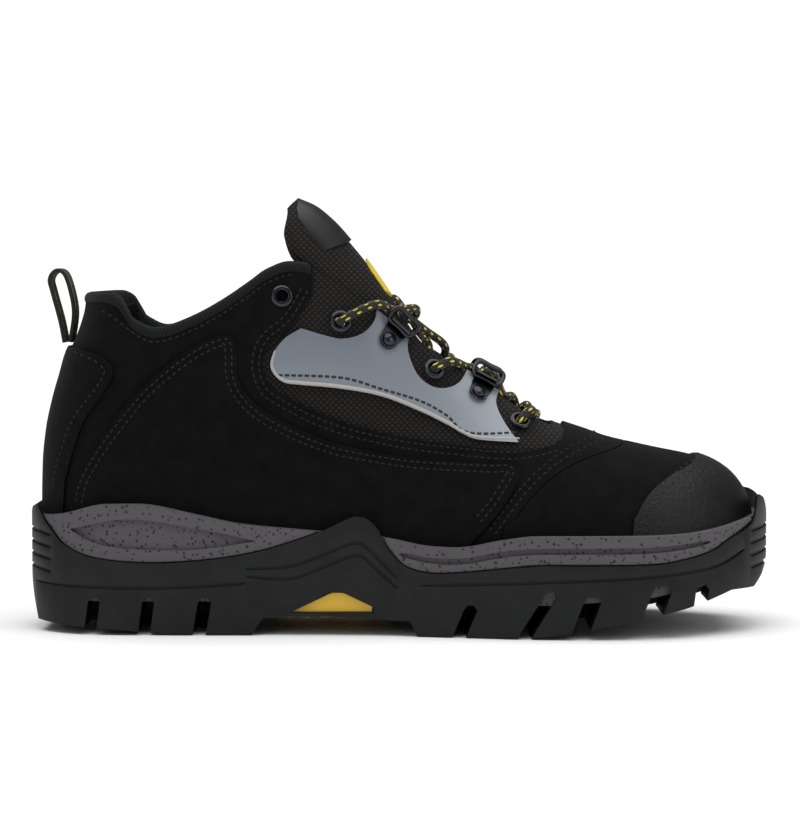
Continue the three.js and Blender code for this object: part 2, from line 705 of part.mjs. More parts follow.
const innerHeel = UPPER_HEEL_START - 33.5;
addPiece(
  'lasting_board',
  soleplate(0.3, -BOARD_THICKNESS, 0, innerHeel, UPPER_TIP_X - 0.8),
  FINISHES.board,
);

const LINING_IN = 2.6;
const LINING = [-LINING_IN - LINING_THICKNESS, -LINING_IN];
addPiece(
  'footbed',
  soleplate(
    LINING_IN + LINING_THICKNESS + 2.5, CLEARANCE, FOOTBED_THICKNESS + CLEARANCE,
    innerHeel + 6, UPPER_TIP_X - 9,
  ),
  FINISHES.lining,
);

// ---------------------------------------------------------------- upper

const SOLE_GAP = 0.4; // layers end this far over the feather line
const EYELETS = [
  { x: -48.1, z: 136 },
  { x: -24.5, z: 125.6 },
  { x: 13.3, z: 105.4 },
  { x: 48.2, z: 83.8 },
];
const ANCHORS = [
  { rivet: [-6.4, 117.2], bar: [-1, 124.4] },
  { rivet: [30.6, 94.2], bar: [34, 100] },
];

// Depth of the foam behind the textile: it swells toward the rim of the collar.
function paddingDepth(x, z) {
  const front = 1 - smoothstep(-52, -30, x);
  const belowRim = rimLine(x) - z;
  const swell = 1 - smoothstep(8, 34, belowRim);
  const roll = 1 - 0.45 * (1 - smoothstep(0, 4, belowRim));
  return COLLAR_PADDING * front * swell * roll;
}

// Turns a shape made on the Y axis onto another axis and moves it to its place.
function alignTo(geometry, point, axis) {
  geometry.applyQuaternion(new THREE.Quaternion().setFromUnitVectors(new THREE.Vector3(0, 1, 0), axis));
  geometry.translate(point.x, point.y, point.z);
  return solid(geometry);
}

function pinHole(side, x, z, diameter, depth = 16) {
  const { point, normal } = onUpper(side, x, z, 0);
  return alignTo(new THREE.CylinderGeometry(diameter / 2, diameter / 2, depth, 10), point, normal);
}

function sightHole(side, x, z, diameter) {
  const { point } = onUpper(side, x, z, 0);
  const hole = new THREE.CylinderGeometry(diameter / 2, diameter / 2, 30, 10);
  hole.translate(point.x, point.y, point.z);
  return solid(hole);
}

// Pocket for an eyelet's inner flange in the padding behind the textile.
function flangeRecess(side, { x, z }) {
  const { point, normal } = onUpper(side, x, z, -2.6);
  const radius = EYELET_FLANGE / 2 + CLEARANCE;
  const pocket = new THREE.CylinderGeometry(radius, radius, 6.4, 10);
  return alignTo(pocket, point, normal);
}

const BARREL_FIT = EYELET_BORE + 2 * EYELET_WALL + 2 * CLEARANCE;
const TOP_BARREL_FIT = TOP_EYELET_BORE + 2 * EYELET_WALL + 2 * CLEARANCE;
const RIVET_STEM = 2.4;

function withHoles(body, side) {
  let cut = body;
  EYELETS.forEach(({ x, z }, i) => {
    cut = cut.subtract(pinHole(side, x, z, i === 0 ? TOP_BARREL_FIT : BARREL_FIT));
  });
  return cut;
}

const PLATE_LIFT = LAYER.suede[1] + CLEARANCE + 0.3; // underside of the plate over the moulded overlay
const RING_REACH = 6.4; // from the fold to the bar
const FOLD_SETBACK = 4.6; // fold to bar in side view
const BAR_LIFT = 8.6;

// Frame of one lace anchor: along the bar, up the plate toward the bar, and out of the upper.
function anchorFrame(side, { rivet, bar }) {
  const seat = onUpper(side, ...rivet, 0);
  const edge = onUpper(side, ...bar, 0);
  const up = edge.point.clone().sub(seat.point).normalize();
  const out = seat.normal.clone().addScaledVector(up, -seat.normal.dot(up)).normalize();
  const along = new THREE.Vector3().crossVectors(up, out).normalize();
  const length = edge.point.distanceTo(seat.point);
  return { seat: seat.point, up, out, along, length };
}

const PLATE_FOOT = 3.9; // plate below the rivet
const FOLD_RADIUS = RING_WIRE / 2 + CLEARANCE;
const WIRE_LIFT = PLATE_LIFT + PLATE_THICKNESS + FOLD_RADIUS;
const PLATE_HALF_WIDTH = RING_WIDTH / 2 - RING_WIRE - CLEARANCE;

function stemHole({ seat, out }) {
  const radius = RIVET_STEM / 2 + CLEARANCE;
  return alignTo(new THREE.CylinderGeometry(radius, radius, 20, 10), seat, out);
}

// Flat seat pressed into the moulded overlay under the plate.
function plateSeat({ seat, up, out, along, length }) {
  const room = 2 * (PLATE_HALF_WIDTH + CLEARANCE);
  const reach = length + PLATE_FOOT + 6;
  const box = new THREE.BoxGeometry(room, reach, 8);
  box.translate(0, reach / 2 - PLATE_FOOT - CLEARANCE, PLATE_LIFT - CLEARANCE + 4);
  box.applyMatrix4(new THREE.Matrix4().makeBasis(along, up, out).setPosition(seat));
  return solid(box);
}

const meshShell = upperShell({
  outer: () => LAYER.mesh[1],
  inner: () => LAYER.mesh[0],
  rimDrop: COLLAR_BINDING + 0.2,
  bottom: SOLE_GAP,
});
const wholeSide = polygonRun([[-170, 0], [170, 0], [170, 200], [-170, 200]]);
for (const { side, name } of SIDES) {
  let textile = withHoles(meshShell.intersect(onSide(side, wholeSide)), side);
  for (const anchor of ANCHORS) textile = textile.subtract(stemHole(anchorFrame(side, anchor)));
  addPiece(`textile_${name}`, textile, FINISHES.mesh);
}

const quarterOutline = [
  [[-170, 0], [38.5, 0]],
  [[38.5, 0], [40.5, 40], [46.5, 48], [52.9, 56.1], [62.4, 64.6], [75.2, 71], [88, 74.6], [98, 79]],
  [[98, 79], [98, 110]],
  [[98, 110], [66, 110]],
  [[66, 110], [67.5, 86], [66.5, 79.5], [62, 76.5], [51, 74.5], [40, 74.4]],
  [[40, 74.4], [24, 76.1], [2.8, 78.9], [-18.8, 84.1], [-34.8, 90.1], [-47.6, 96.9]],
  [[-47.6, 96.9], [-52.8, 100.9], [-55.2, 108.9], [-52.6, 117], [-43.2, 125.3], [-35.5, 138]],
  [[-35.5, 138], [-35.5, 200]],
  [[-35.5, 200], [-170, 200]],
  [[-170, 200], [-170, 0]],
];
const suedeShell = upperShell({
  outer: () => LAYER.suede[1],
  inner: () => LAYER.suede[0],
  rimDrop: COLLAR_BINDING,
  bottom: SOLE_GAP,
});
for (const { side, name } of SIDES) {
  addPiece(
    `suede_quarter_${name}`,
    withHoles(suedeShell.intersect(onSide(side, quarterOutline)), side),
    FINISHES.suede,
  );
}

const vampOutline = [
  [[38.9, 0], [40.9, 40], [46.9, 47.8], [53.3, 55.8], [62.7, 64.2], [75.4, 70.6], [88.2, 74.2], [98.4, 78.4]],
  [[98.4, 78.4], [98.4, 110]],
  [[98.4, 110], [170, 110]],
  [[170, 110], [170, 0]],
  [[170, 0], [38.9, 0]],
];
addPiece('suede_vamp', suedeShell.intersect(sidePrism(vampOutline, -FAR, FAR)), FINISHES.suede);

const overlayShell = upperShell({
  outer: () => LAYER.overlay[1],
  inner: () => LAYER.overlay[0],
  rimDrop: COLLAR_BINDING,
  bottom: SOLE_GAP,
});

const saddleOutline = [
  [[-134, 0], [-131.5, 54], [-129.5, 62.4], [-123.4, 74.1], [-115.8, 85.7], [-106.1, 97.7], [-94.4, 108.1]],
  [[-94.4, 108.1], [-82.8, 116.1], [-73.2, 120.3], [-68, 120], [-66, 114.5], [-65.6, 104.9]],
  [[-65.6, 104.9], [-62.5, 97.7], [-56.1, 91.3], [-45.3, 84.9], [-29.3, 78], [-13.2, 74]],
  [[-13.2, 74], [6.8, 70.6], [34.9, 68.8], [43.5, 68.6]],
  [[43.5, 68.6], [47.6, 66], [46.8, 61.2]],
  [[46.8, 61.2], [40.1, 50.3], [33.7, 43.1], [26, 32], [20, 0]],
  [[20, 0], [-134, 0]],
];
for (const { side, name } of SIDES) {
  addPiece(`saddle_${name}`, overlayShell.intersect(onSide(side, saddleOutline)), FINISHES.suede);
}

const heelPatchOutline = [
  [[-170, 115.8], [-135, 115.6], [-127.6, 114.3], [-120.3, 111.9], [-116, 107.6], [-116.4, 103.3]],
  [[-116.4, 103.3], [-120.3, 96.8], [-127.8, 86.2], [-132, 76], [-135.4, 64.9], [-137, 54], [-140, 0]],
  [[-140, 0], [-170, 0]],
  [[-170, 0], [-170, 115.8]],
];
addPiece('heel_patch', overlayShell.intersect(sidePrism(heelPatchOutline, -FAR, FAR)), FINISHES.suede);

const toeCapOutline = [
  [[92, 0], [93.2, 42], [95.2, 49.4], [100.4, 57.1], [109.2, 63.6], [119, 67.8], [127.5, 73.5]],
  [[127.5, 73.5], [129, 110]],
  [[129, 110], [170, 110]],
  [[170, 110], [170, 0]],
  [[170, 0], [92, 0]],
];
addPiece('toe_cap', overlayShell.intersect(sidePrism(toeCapOutline, -FAR, FAR)), FINISHES.toeLeather);

// Moulded overlay in the window: it scallops round the eyelets and carries the lace rings.
const tpuOutline = [
  [[-39.9, 123.4], [-29.2, 120.2], [-22.8, 119.2], [-15.4, 121.2], [-10.4, 126.5], [-9, 135]],
  [[-9, 135], [5, 128]],
  [[5, 128], [3.6, 119.6], [3.4, 113.6], [6.8, 105], [12.4, 100], [18.8, 99], [24.6, 101.6], [28.4, 108]],
  [[28.4, 108], [42, 100]],
  [[42, 100], [39.2, 93.4], [42.1, 85.8], [48, 77.4]],
  [[48, 77.4], [32.5, 78.4], [26.1, 80.4], [18.9, 84.6], [8, 90], [-8, 96.4], [-24.1, 99.8]],
  [[-24.1, 99.8], [-40.1, 101.4], [-46.7, 102.3], [-50.5, 105.2], [-52, 109], [-50.6, 114.2]],
  [[-50.6, 114.2], [-46.2, 119.6], [-39.9, 123.4]],
];
const tpuShell = upperShell({
  outer: () => LAYER.suede[1],
  inner: () => LAYER.suede[0],
  rimDrop: COLLAR_BINDING,
});
for (const { side, name } of SIDES) {
  let overlay = tpuShell.intersect(onSide(side, tpuOutline));
  for (const anchor of ANCHORS) {
    const frame = anchorFrame(side, anchor);
    overlay = overlay.subtract(stemHole(frame)).subtract(plateSeat(frame));
  }
  addPiece(`moulded_overlay_${name}`, overlay, FINISHES.tpu);
}

// ---------------------------------------------------------------- inside the upper

const heelCounterOutline = polygonRun([[-170, 29], [-80, 29], [-88, 60], [-104, 84], [-170, 88]]);
const stiffenerShell = upperShell({
  outer: () => -2 * CLEARANCE,
  inner: () => -2 * CLEARANCE - STIFFENER_THICKNESS,
  rimDrop: 20,
  gapGrowth: 30,
  bottom: 2.5,
});
const heelCounter = stiffenerShell.intersect(sidePrism(heelCounterOutline, -FAR, FAR));
addPiece('heel_counter', heelCounter, FINISHES.stiffener);
const toePuffOutline = polygonRun([[104, 0], [96, 90], [170, 90], [170, 0]]);
addPiece('toe_puff', stiffenerShell.intersect(sidePrism(toePuffOutline, -FAR, FAR)), FINISHES.stiffener);

const collarShell = upperShell({
  outer: () => -0.5,
  inner: (x, z) => -1 - paddingDepth(x, z),
  rimDrop: 0,
  rows: 8,
});
const collarZone = polygonRun([[-170, 93], [-70, 93], [-52, 100], [-40, 118], [-40, 200], [-170, 200]]);
let collar = collarShell.intersect(sidePrism(collarZone, -FAR, FAR));
for (const { side } of SIDES) {
  collar = collar.subtract(sightHole(side, EYELETS[0].x, EYELETS[0].z, TOP_BARREL_FIT));
}
// The padding rolls over the edge of the suede and shows as a soft binding.
const rollShell = upperShell({
  outer: () => LAYER.suede[1] + 0.4,
  inner: () => -0.8,
  rimDrop: 0,
  rows: 8,
});
const layersRoom = upperShell({
  outer: () => LAYER.overlay[1] + 2,
  inner: () => LAYER.mesh[0] - CLEARANCE,
  rimDrop: COLLAR_BINDING,
  lift: 3 * CLEARANCE,
});
collar = collar.add(rollShell.intersect(sidePrism(collarZone, -FAR, FAR))).subtract(layersRoom);
for (const { side } of SIDES) collar = collar.subtract(flangeRecess(side, EYELETS[0]));
addPiece('collar_padding', mainBody(collar), FINISHES.knit);

let lining = upperShell({
  outer: (x, z) => LINING[1] - paddingDepth(x, z),
  inner: (x, z) => LINING[0] - paddingDepth(x, z),
  rimDrop: 1.5,
  gapGrowth: 26,
  bottom: 2.5,
  rows: 8,
});
for (const { side } of SIDES) {
  lining = lining.subtract(sightHole(side, EYELETS[0].x, EYELETS[0].z, TOP_BARREL_FIT));
}
addPiece('inner_lining', lining, FINISHES.lining);

// ---------------------------------------------------------------- tongue

// Front of the tongue in side view, from the throat up; it stands up behind the laces.
const tongueLine = [
  [65, 77], [55, 82], [41, 89.5], [30, 98.5], [17, 108.8], [8, 118], [2, 126.5], [-3, 134],
  [-8, 141.5], [-14, 150], [-21, 158.5], [-28, 166.2], [-36, 172.6], [-43, 175.6],
];
const tongueHalfWidth = [9, 13, 16, 18, 19, 19.5, 20, 20, 20, 20.5, 21.5, 22.5, 22.5, 18];
const tongueBody = [2.4, 2.6, 3, 3, 3.4, 4, 4.6, 5.2, 6, 7, 8, 8, 7, 4.5];
const TONGUE_BACK = new THREE.Vector3(-0.68, 0, -0.73); // from the front face into the boot
const TONGUE_CURL = 0.011;
const tongueRidge = smoothLine([...tongueLine].reverse());

function tonguePoint(index, across, depth) {
  const [x, z] = tongueLine[index];
  const y = across * tongueHalfWidth[index];
  const curl = TONGUE_CURL * Math.abs(y) ** 2.4;
  return new THREE.Vector3(x, y, z).addScaledVector(TONGUE_BACK, curl + depth);
}

const TONGUE_ACROSS = [-1, -0.8, -0.5, -0.2, 0.2, 0.5, 0.8, 1];
function tongueFace(depthAt, from = 0, to = tongueLine.length - 1) {
  const rows = [];
  for (let i = from; i <= to; i++) {
    rows.push(TONGUE_ACROSS.map((across) => tonguePoint(i, across, depthAt(i, across))));
  }
  return rows;
}
const tongueTaper = (i, across) => tongueBody[i] * (1 - 0.55 * Math.abs(across) ** 3);
// Its edges stay clear of the quarters on both sides.
const quarterRoom = upperShell({ outer: () => 8, inner: () => -2.7 });
addPiece(
  'tongue',
  sheetSolid(tongueFace(() => 0), tongueFace(tongueTaper)).subtract(quarterRoom),
  FINISHES.mesh,
);

// The tongue can be pressed back a little, and the front edges of the collar leave it that room.
const TONGUE_HINGE = new THREE.Vector3(62, 0, 78);
const TONGUE_SWING = 3; // degrees
const SWING_STEPS = 6;
function turnedTongue(degrees) {
  const turn = new THREE.Matrix4().makeRotationY(-THREE.MathUtils.degToRad(degrees));
  const turned = (point) => point.sub(TONGUE_HINGE).applyMatrix4(turn).add(TONGUE_HINGE);
  const front = tongueFace(() => -CLEARANCE);
  const back = tongueFace((i, across) => tongueTaper(i, across) + CLEARANCE);
  return sheetSolid(...[front, back].map((rows) => rows.map((row) => row.map(turned))));
}
const collarPiece = pieces.get('collar_padding');
for (let step = 0; step <= SWING_STEPS; step++) {
  const room = turnedTongue((step / SWING_STEPS) * TONGUE_SWING);
  collarPiece.body = mainBody(collarPiece.body.subtract(room));
}

// A patch laid on the front of the tongue, over part of its width.
function tonguePatch(from, to, share, thickness) {
  const grid = (lift) => {
    const rows = [];
    for (let i = from; i <= to; i++) {
      rows.push([-1, -0.5, 0, 0.5, 1].map((across) => tonguePoint(i, across * share, lift)));
    }
    return rows;
  };
  return sheetSolid(grid(-0.8 - thickness), grid(-0.8));
}
addPiece('tongue_label', tonguePatch(10, 13, 0.62, 1), FINISHES.label);
addPiece('tongue_strip', tonguePatch(7, 9, 0.3, 1), FINISHES.yellow);

// ---------------------------------------------------------------- pull loop

// Centre line of the webbing loop behind the collar, in side view.
const loopLine = [
  [-138.3, 117], [-140, 126], [-143.2, 138], [-144.2, 143.2], [-141.6, 146.6], [-138, 145],
  [-135.2, 136], [-134.4, 128], [-136, 117.2],
];
function webbing(line, width, thickness, steps) {
  const path = new THREE.CatmullRomCurve3(line.map(([x, z]) => new THREE.Vector3(x, 0, z)));
  const front = [];
  const back = [];
  for (let i = 0; i <= steps; i++) {
    const point = path.getPoint(i / steps);
    const tangent = path.getTangent(i / steps);
    const out = new THREE.Vector3(tangent.z, 0, -tangent.x).multiplyScalar(thickness / 2);
    front.push([-1, 1].map((end) => point.clone().add(out).setY((end * width) / 2)));
    back.push([-1, 1].map((end) => point.clone().sub(out).setY((end * width) / 2)));
  }
  return sheetSolid(front, back);
}
addPiece('pull_loop', webbing(loopLine, LOOP_WIDTH, LOOP_WEBBING, 22), FINISHES.webbing);

// ---------------------------------------------------------------- lacing hardware

function turnedRing(profile, sides) {
  const outline = [...profile, profile[0]].map(([r, h]) => new THREE.Vector2(r, h));
  return new THREE.LatheGeometry(outline, sides);
}

// Two flanges joined by a barrel, through a wall between two heights.
function eyeletGeometry(bore, flange, wallIn, wallOut, sides) {
  const r = bore / 2;
  const barrel = r + EYELET_WALL;
  const rim = flange / 2;
  const top = wallOut + CLEARANCE;
  const low = wallIn - CLEARANCE;
  return turnedRing([
    [r, low - EYELET_RIM], [rim - 0.6, low - EYELET_RIM], [rim - 0.6, low], [barrel, low],
    [barrel, top], [rim, top], [rim - 0.5, top + EYELET_RIM], [r, top + EYELET_RIM],
  ], sides);
}

for (const { side, name } of SIDES) {
  EYELETS.forEach(({ x, z }, i) => {
    const { point, normal } = onUpper(side, x, z, 0);
    const geometry = i === 0
      ? eyeletGeometry(TOP_EYELET_BORE, EYELET_FLANGE, LAYER.mesh[0] - 0.5, LAYER.suede[1] + 0.1, 10)
      : eyeletGeometry(EYELET_BORE, EYELET_FLANGE, LAYER.mesh[0] - 0.9, LAYER.mesh[1] + 0.1, 10);
    addPiece(`eyelet_${i + 1}_${name}`, alignTo(geometry, point, normal), FINISHES.gunmetal);
  });
}

// Plate: a strip that runs up from the rivet and curls over the base of the ring.
function platePiece(frame) {
  const { up, out, along, seat } = frame;
  const fold = frame.length - FOLD_SETBACK;
  const sheet = FOLD_RADIUS + PLATE_THICKNESS;
  const profile = [new THREE.Vector2(-PLATE_FOOT, PLATE_LIFT), new THREE.Vector2(fold, PLATE_LIFT)];
  const steps = 6;
  const arc = (radius, i) => {
    const angle = -Math.PI / 2 + (i / steps) * Math.PI * 1.1;
    return new THREE.Vector2(fold + radius * Math.cos(angle), WIRE_LIFT + radius * Math.sin(angle));
  };
  for (let i = 1; i <= steps; i++) profile.push(arc(sheet, i));
  for (let i = steps; i >= 0; i--) profile.push(arc(FOLD_RADIUS, i));
  profile.push(new THREE.Vector2(-PLATE_FOOT, PLATE_LIFT + PLATE_THICKNESS));
  const strip = new THREE.ExtrudeGeometry(new THREE.Shape(profile), {
    depth: 2 * PLATE_HALF_WIDTH, bevelEnabled: false,
  });
  strip.translate(0, 0, -PLATE_HALF_WIDTH);
  strip.applyMatrix4(new THREE.Matrix4().makeBasis(up, out, along).setPosition(seat));
  const face = new THREE.Shape();
  face.absarc(0, 0, PLATE_FOOT, Math.PI, 2 * Math.PI, false);
  face.lineTo(PLATE_HALF_WIDTH, fold);
  face.lineTo(PLATE_HALF_WIDTH, fold + 5);
  face.lineTo(-PLATE_HALF_WIDTH, fold + 5);
  face.lineTo(-PLATE_HALF_WIDTH, fold);
  const cutter = new THREE.ExtrudeGeometry(face, { depth: 20, bevelEnabled: false, curveSegments: 8 });
  cutter.applyMatrix4(new THREE.Matrix4().makeBasis(along, up, out).setPosition(seat));
  return solid(strip).intersect(solid(cutter)).subtract(stemHole(frame));
}

// Wire bent into a closed flat loop.
function wireLoop(corners, normal, wire, sides) {
  const path = new THREE.CatmullRomCurve3(corners, true, 'catmullrom', 0.35);
  const steps = 18;
  const points = [];
  const triangles = [];
  for (let i = 0; i < steps; i++) {
    const centre = path.getPoint(i / steps);
    const outward = path.getTangent(i / steps).cross(normal).normalize();
    for (let j = 0; j < sides; j++) {
      const angle = (2 * Math.PI * j) / sides;
      const point = centre.clone().addScaledVector(outward, (wire / 2) * Math.cos(angle));
      points.push(point.addScaledVector(normal, (wire / 2) * Math.sin(angle)));
    }
  }
  for (let i = 0; i < steps; i++) {
    for (let j = 0; j < sides; j++) {
      const a = i * sides + j;
      const b = i * sides + ((j + 1) % sides);
      const c = ((i + 1) % steps) * sides + ((j + 1) % sides);
      const d = ((i + 1) % steps) * sides + j;
      triangles.push(a, b, c, a, c, d);
    }
  }
  return closedSolid(points, triangles);
}

// Ring: its base lies in the plate's fold and its bar stands off over the lacing edge.
function ringPiece(frame) {
  const { up, out, along, seat } = frame;
  const half = RING_WIDTH / 2 - RING_WIRE / 2;
  const fold = frame.length - FOLD_SETBACK;
  const lean = Math.asin((BAR_LIFT - WIRE_LIFT) / RING_REACH);
  const rise = up.clone().multiplyScalar(Math.cos(lean)).addScaledVector(out, Math.sin(lean));
  const base = seat.clone().addScaledVector(up, fold).addScaledVector(out, WIRE_LIFT);
  const at = (across, reach) => base.clone().addScaledVector(along, across).addScaledVector(rise, reach);
  const corners = [
    at(-half * 0.8, 0), at(0, 0), at(half * 0.8, 0), at(half, RING_REACH * 0.2), at(half, RING_REACH * 0.8),
    at(half * 0.8, RING_REACH), at(0, RING_REACH), at(-half * 0.8, RING_REACH),
    at(-half, RING_REACH * 0.8), at(-half, RING_REACH * 0.2),
  ];
  const normal = new THREE.Vector3().crossVectors(rise, along).normalize();
  return wireLoop(corners, normal, RING_WIRE, 6);
}

function rivetPiece({ seat, out }) {
  const low = LAYER.mesh[0] - 5 * CLEARANCE;
  const top = PLATE_LIFT + PLATE_THICKNESS + CLEARANCE;
  const head = RIVET_DIAMETER / 2;
  const stem = RIVET_STEM / 2;
  const profile = [
    [0, low - 0.7], [head - 0.6, low - 0.7], [head - 0.6, low], [stem, low], [stem, top],
    [head, top], [head - 0.8, top + 1.1], [0, top + 1.4],
  ].map(([r, h]) => new THREE.Vector2(r, h));
  return alignTo(new THREE.LatheGeometry(profile, 10), seat, out);
}

for (const { side, name } of SIDES) {
  ANCHORS.forEach((anchor, i) => {
    const frame = anchorFrame(side, anchor);
    addPiece(`anchor_plate_${i + 1}_${name}`, platePiece(frame), FINISHES.gunmetal);
    addPiece(`anchor_ring_${i + 1}_${name}`, ringPiece(frame), FINISHES.gunmetal);
    addPiece(`rivet_${i + 1}_${name}`, rivetPiece(frame), FINISHES.gunmetal);
  });
}

// ---------------------------------------------------------------- lace

const HIGH = 8.2; // height of a strand over the tongue where it crosses over another
const LOW = 2.9;

// Chosen points of the lace: on a side of the upper, or over the tongue's front.
function onSideOf(side) {
  return (x, z, offset) => onUpper(side, x, z, offset).point;
}
const outerSide = onSideOf(LATERAL);
const innerSide = onSideOf(MEDIAL);
const overTongue = (x, y, height) => new THREE.Vector3(x, y, tongueRidge(x) + height);

// From one hole's inside face out through it, square to the upper.
function throughEyelet(place, index, inward) {
  const { x, z } = EYELETS[index];
  const stops = [-3.9, -1.4, 1.2, 3.7].map((offset) => place(x, z, offset));
  return inward ? stops.reverse() : stops;
}

// Under a ring's bar: in on one side, round and out on the other.
function underBar(place, index, upward) {
  const [x, z] = ANCHORS[index].bar;
  const stops = [place(x + 2.2, z - 0.6, 5.3), place(x + 0.1, z + 0.1, 5.4), place(x - 1.3, z + 2.2, 5.3)];
  return upward ? stops : stops.reverse();
}

const laceRoute = [
  outerSide(-50, 97, -9), outerSide(-44, 106, -8), outerSide(-34, 116, -6),
  ...throughEyelet(outerSide, 1, false),
  outerSide(-20.4, 128, 5.6), outerSide(-12, 131.4, 5.4),
  overTongue(-3, -14.5, -3.4), overTongue(6.5, 0, 11), overTongue(6, 8, 7),
  ...underBar(innerSide, 0, false),
  overTongue(8.5, 8.5, 3), overTongue(10.5, 0, LOW), overTongue(12, -8, 1.2),
  ...throughEyelet(outerSide, 2, false),
  outerSide(18, 106.6, 5.6), overTongue(27, -9, 6.4), overTongue(31, 0, HIGH), overTongue(34.5, 7.5, 6.6),
  ...underBar(innerSide, 1, false),
  overTongue(40.5, 8, 3), overTongue(41, 0, LOW), overTongue(44.4, -8, 1),
  ...throughEyelet(outerSide, 3, false), outerSide(51, 85.4, 5.9),
  overTongue(55, -11, 4.4), overTongue(56.6, 0, 6.4), overTongue(55, 11, 4.4),
  innerSide(51, 85.4, 5.9), ...throughEyelet(innerSide, 3, true),
  overTongue(48.4, 7, 3.6), overTongue(46.5, 0, HIGH), overTongue(42.6, -8, 6.8),
  ...underBar(outerSide, 1, true),
  overTongue(29, -9, 2.4), overTongue(23.6, 0, LOW), overTongue(22, 8, 4),
  innerSide(18, 107, 5.6), ...throughEyelet(innerSide, 2, true),
  overTongue(18.6, 7, 4.4), overTongue(18, 0, HIGH), overTongue(11, -8, 7),
  ...underBar(outerSide, 0, true),
  overTongue(0.6, -8, 2.6), overTongue(1.5, 0, LOW), overTongue(-2.4, 9, 1.8),
  innerSide(-12, 131.4, 5.4), innerSide(-20.4, 128, 5.6),
  ...throughEyelet(innerSide, 1, true),
  innerSide(-34, 116, -6), innerSide(-44, 106, -8), innerSide(-50, 97, -9),
];

const LACE_STEPS = 120;
const lacePath = new THREE.CatmullRomCurve3(laceRoute, false, 'centripetal');

function laceTube(path, diameter, steps, sides) {
  const section = new THREE.Shape();
  section.absarc(0, 0, diameter / 2, 0, 2 * Math.PI, false);
  return solid(new THREE.ExtrudeGeometry(section, {
    steps, curveSegments: sides / 2, extrudePath: path, bevelEnabled: false,
  }));
}
addPiece('lace', laceTube(lacePath, LACE_DIAMETER, LACE_STEPS, 6), FINISHES.lace);

// Moulded tip on each end of the lace, past its last point.
const AGLET_LENGTH = 14;
SIDES.forEach(({ name }, i) => {
  const end = lacePath.getPoint(i);
  const away = lacePath.getTangent(i).multiplyScalar(i === 0 ? -1 : 1);
  const tip = new THREE.CylinderGeometry(LACE_DIAMETER / 2 - 0.2, LACE_DIAMETER / 2 - 0.4, AGLET_LENGTH, 10);
  const centre = end.clone().addScaledVector(away, CLEARANCE + AGLET_LENGTH / 2);
  addPiece(`aglet_${name}`, alignTo(tip, centre, away.clone().negate()), FINISHES.label);
});

// ---------------------------------------------------------------- placing

// The soft pieces are dented where the lace presses on them.
const laceRoom = laceTube(lacePath, LACE_DIAMETER + 2 * CLEARANCE, LACE_STEPS, 6);
const PRESSED = [
  'textile_lateral', 'textile_medial', 'moulded_overlay_lateral', 'moulded_overlay_medial',
  'tongue', 'tongue_strip', 'inner_lining',
];
for (const name of PRESSED) {
  const piece = pieces.get(name);
  piece.body = mainBody(piece.body.subtract(laceRoom));
}
for (const [name, piece] of pieces) showPiece(name, piece);

// The origin stands under the middle of the width.
const bounds = new THREE.Box3().setFromObject(boot);
boot.position.y = -(bounds.min.y + bounds.max.y) / 2;

export default boot;
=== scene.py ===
# %% [markdown]
# A mid-cut mountaineering boot, one right boot with its lace threaded.
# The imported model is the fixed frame: it gives every place and size. This lesson builds the looks
# around it: a dense version of the same upper, cut into sewn panels, and a moulded sole.

# %% Load the frame and keep its box
import math

import bmesh
import bpy
import numpy as np
from mathutils import Matrix, Vector


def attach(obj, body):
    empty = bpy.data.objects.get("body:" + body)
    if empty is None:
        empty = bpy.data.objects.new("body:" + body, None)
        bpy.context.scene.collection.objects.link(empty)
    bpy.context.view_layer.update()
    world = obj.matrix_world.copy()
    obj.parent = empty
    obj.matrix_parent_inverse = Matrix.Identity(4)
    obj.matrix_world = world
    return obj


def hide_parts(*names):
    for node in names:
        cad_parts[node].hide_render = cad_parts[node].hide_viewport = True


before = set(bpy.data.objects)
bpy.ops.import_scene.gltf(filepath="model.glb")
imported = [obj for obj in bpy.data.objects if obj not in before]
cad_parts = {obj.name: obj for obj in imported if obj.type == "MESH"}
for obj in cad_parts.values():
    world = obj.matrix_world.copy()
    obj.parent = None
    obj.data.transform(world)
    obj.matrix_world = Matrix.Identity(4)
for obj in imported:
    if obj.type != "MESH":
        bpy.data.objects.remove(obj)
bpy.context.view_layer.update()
MM = 0.001
BEYOND = 90  # millimetres past the boot on either side, for cutters that go right through


# %% [markdown]
# A last, the form that a shoe is made on, has no flat faces. It is described by a few smooth lines:
# how wide the sole is, where the upper meets it, how high the ridge runs and how the heel curves.
# A line through given points that never overshoots keeps each of them fair.

# %% Smooth lines and end closures
def smooth_line(points):
    xs = np.array([p[0] for p in points], float)
    zs = np.array([p[1] for p in points], float)
    width = np.diff(xs)
    slope = np.diff(zs) / width
    tangent = np.zeros(len(xs))
    tangent[0] = slope[0]
    tangent[-1] = slope[-1]
    before, after = slope[:-1], slope[1:]
    same = before * after > 0
    total = np.where(same, before + after, 1.0)
    tangent[1:-1] = np.where(same, 2 * before * after / total, 0.0)

    def at(x):
        x = np.clip(np.asarray(x, float), xs[0], xs[-1])
        i = np.clip(np.searchsorted(xs, x, side="right") - 1, 0, len(width) - 1)
        t = (x - xs[i]) / width[i]
        return (
            zs[i] * (2 * t**3 - 3 * t**2 + 1)
            + width[i] * tangent[i] * (t**3 - 2 * t**2 + t)
            + zs[i + 1] * (3 * t**2 - 2 * t**3)
            + width[i] * tangent[i + 1] * (t**3 - t**2)
        )

    return at


def fade(start, end, value):
    t = np.clip((np.asarray(value, float) - start) / (end - start), 0, 1)
    return t * t * (3 - 2 * t)


def end_closure(x, start, end, power):
    share = np.clip((np.asarray(x, float) - start) / (end - start), 0, 1)
    return (1 - share**power) ** (1 / power)


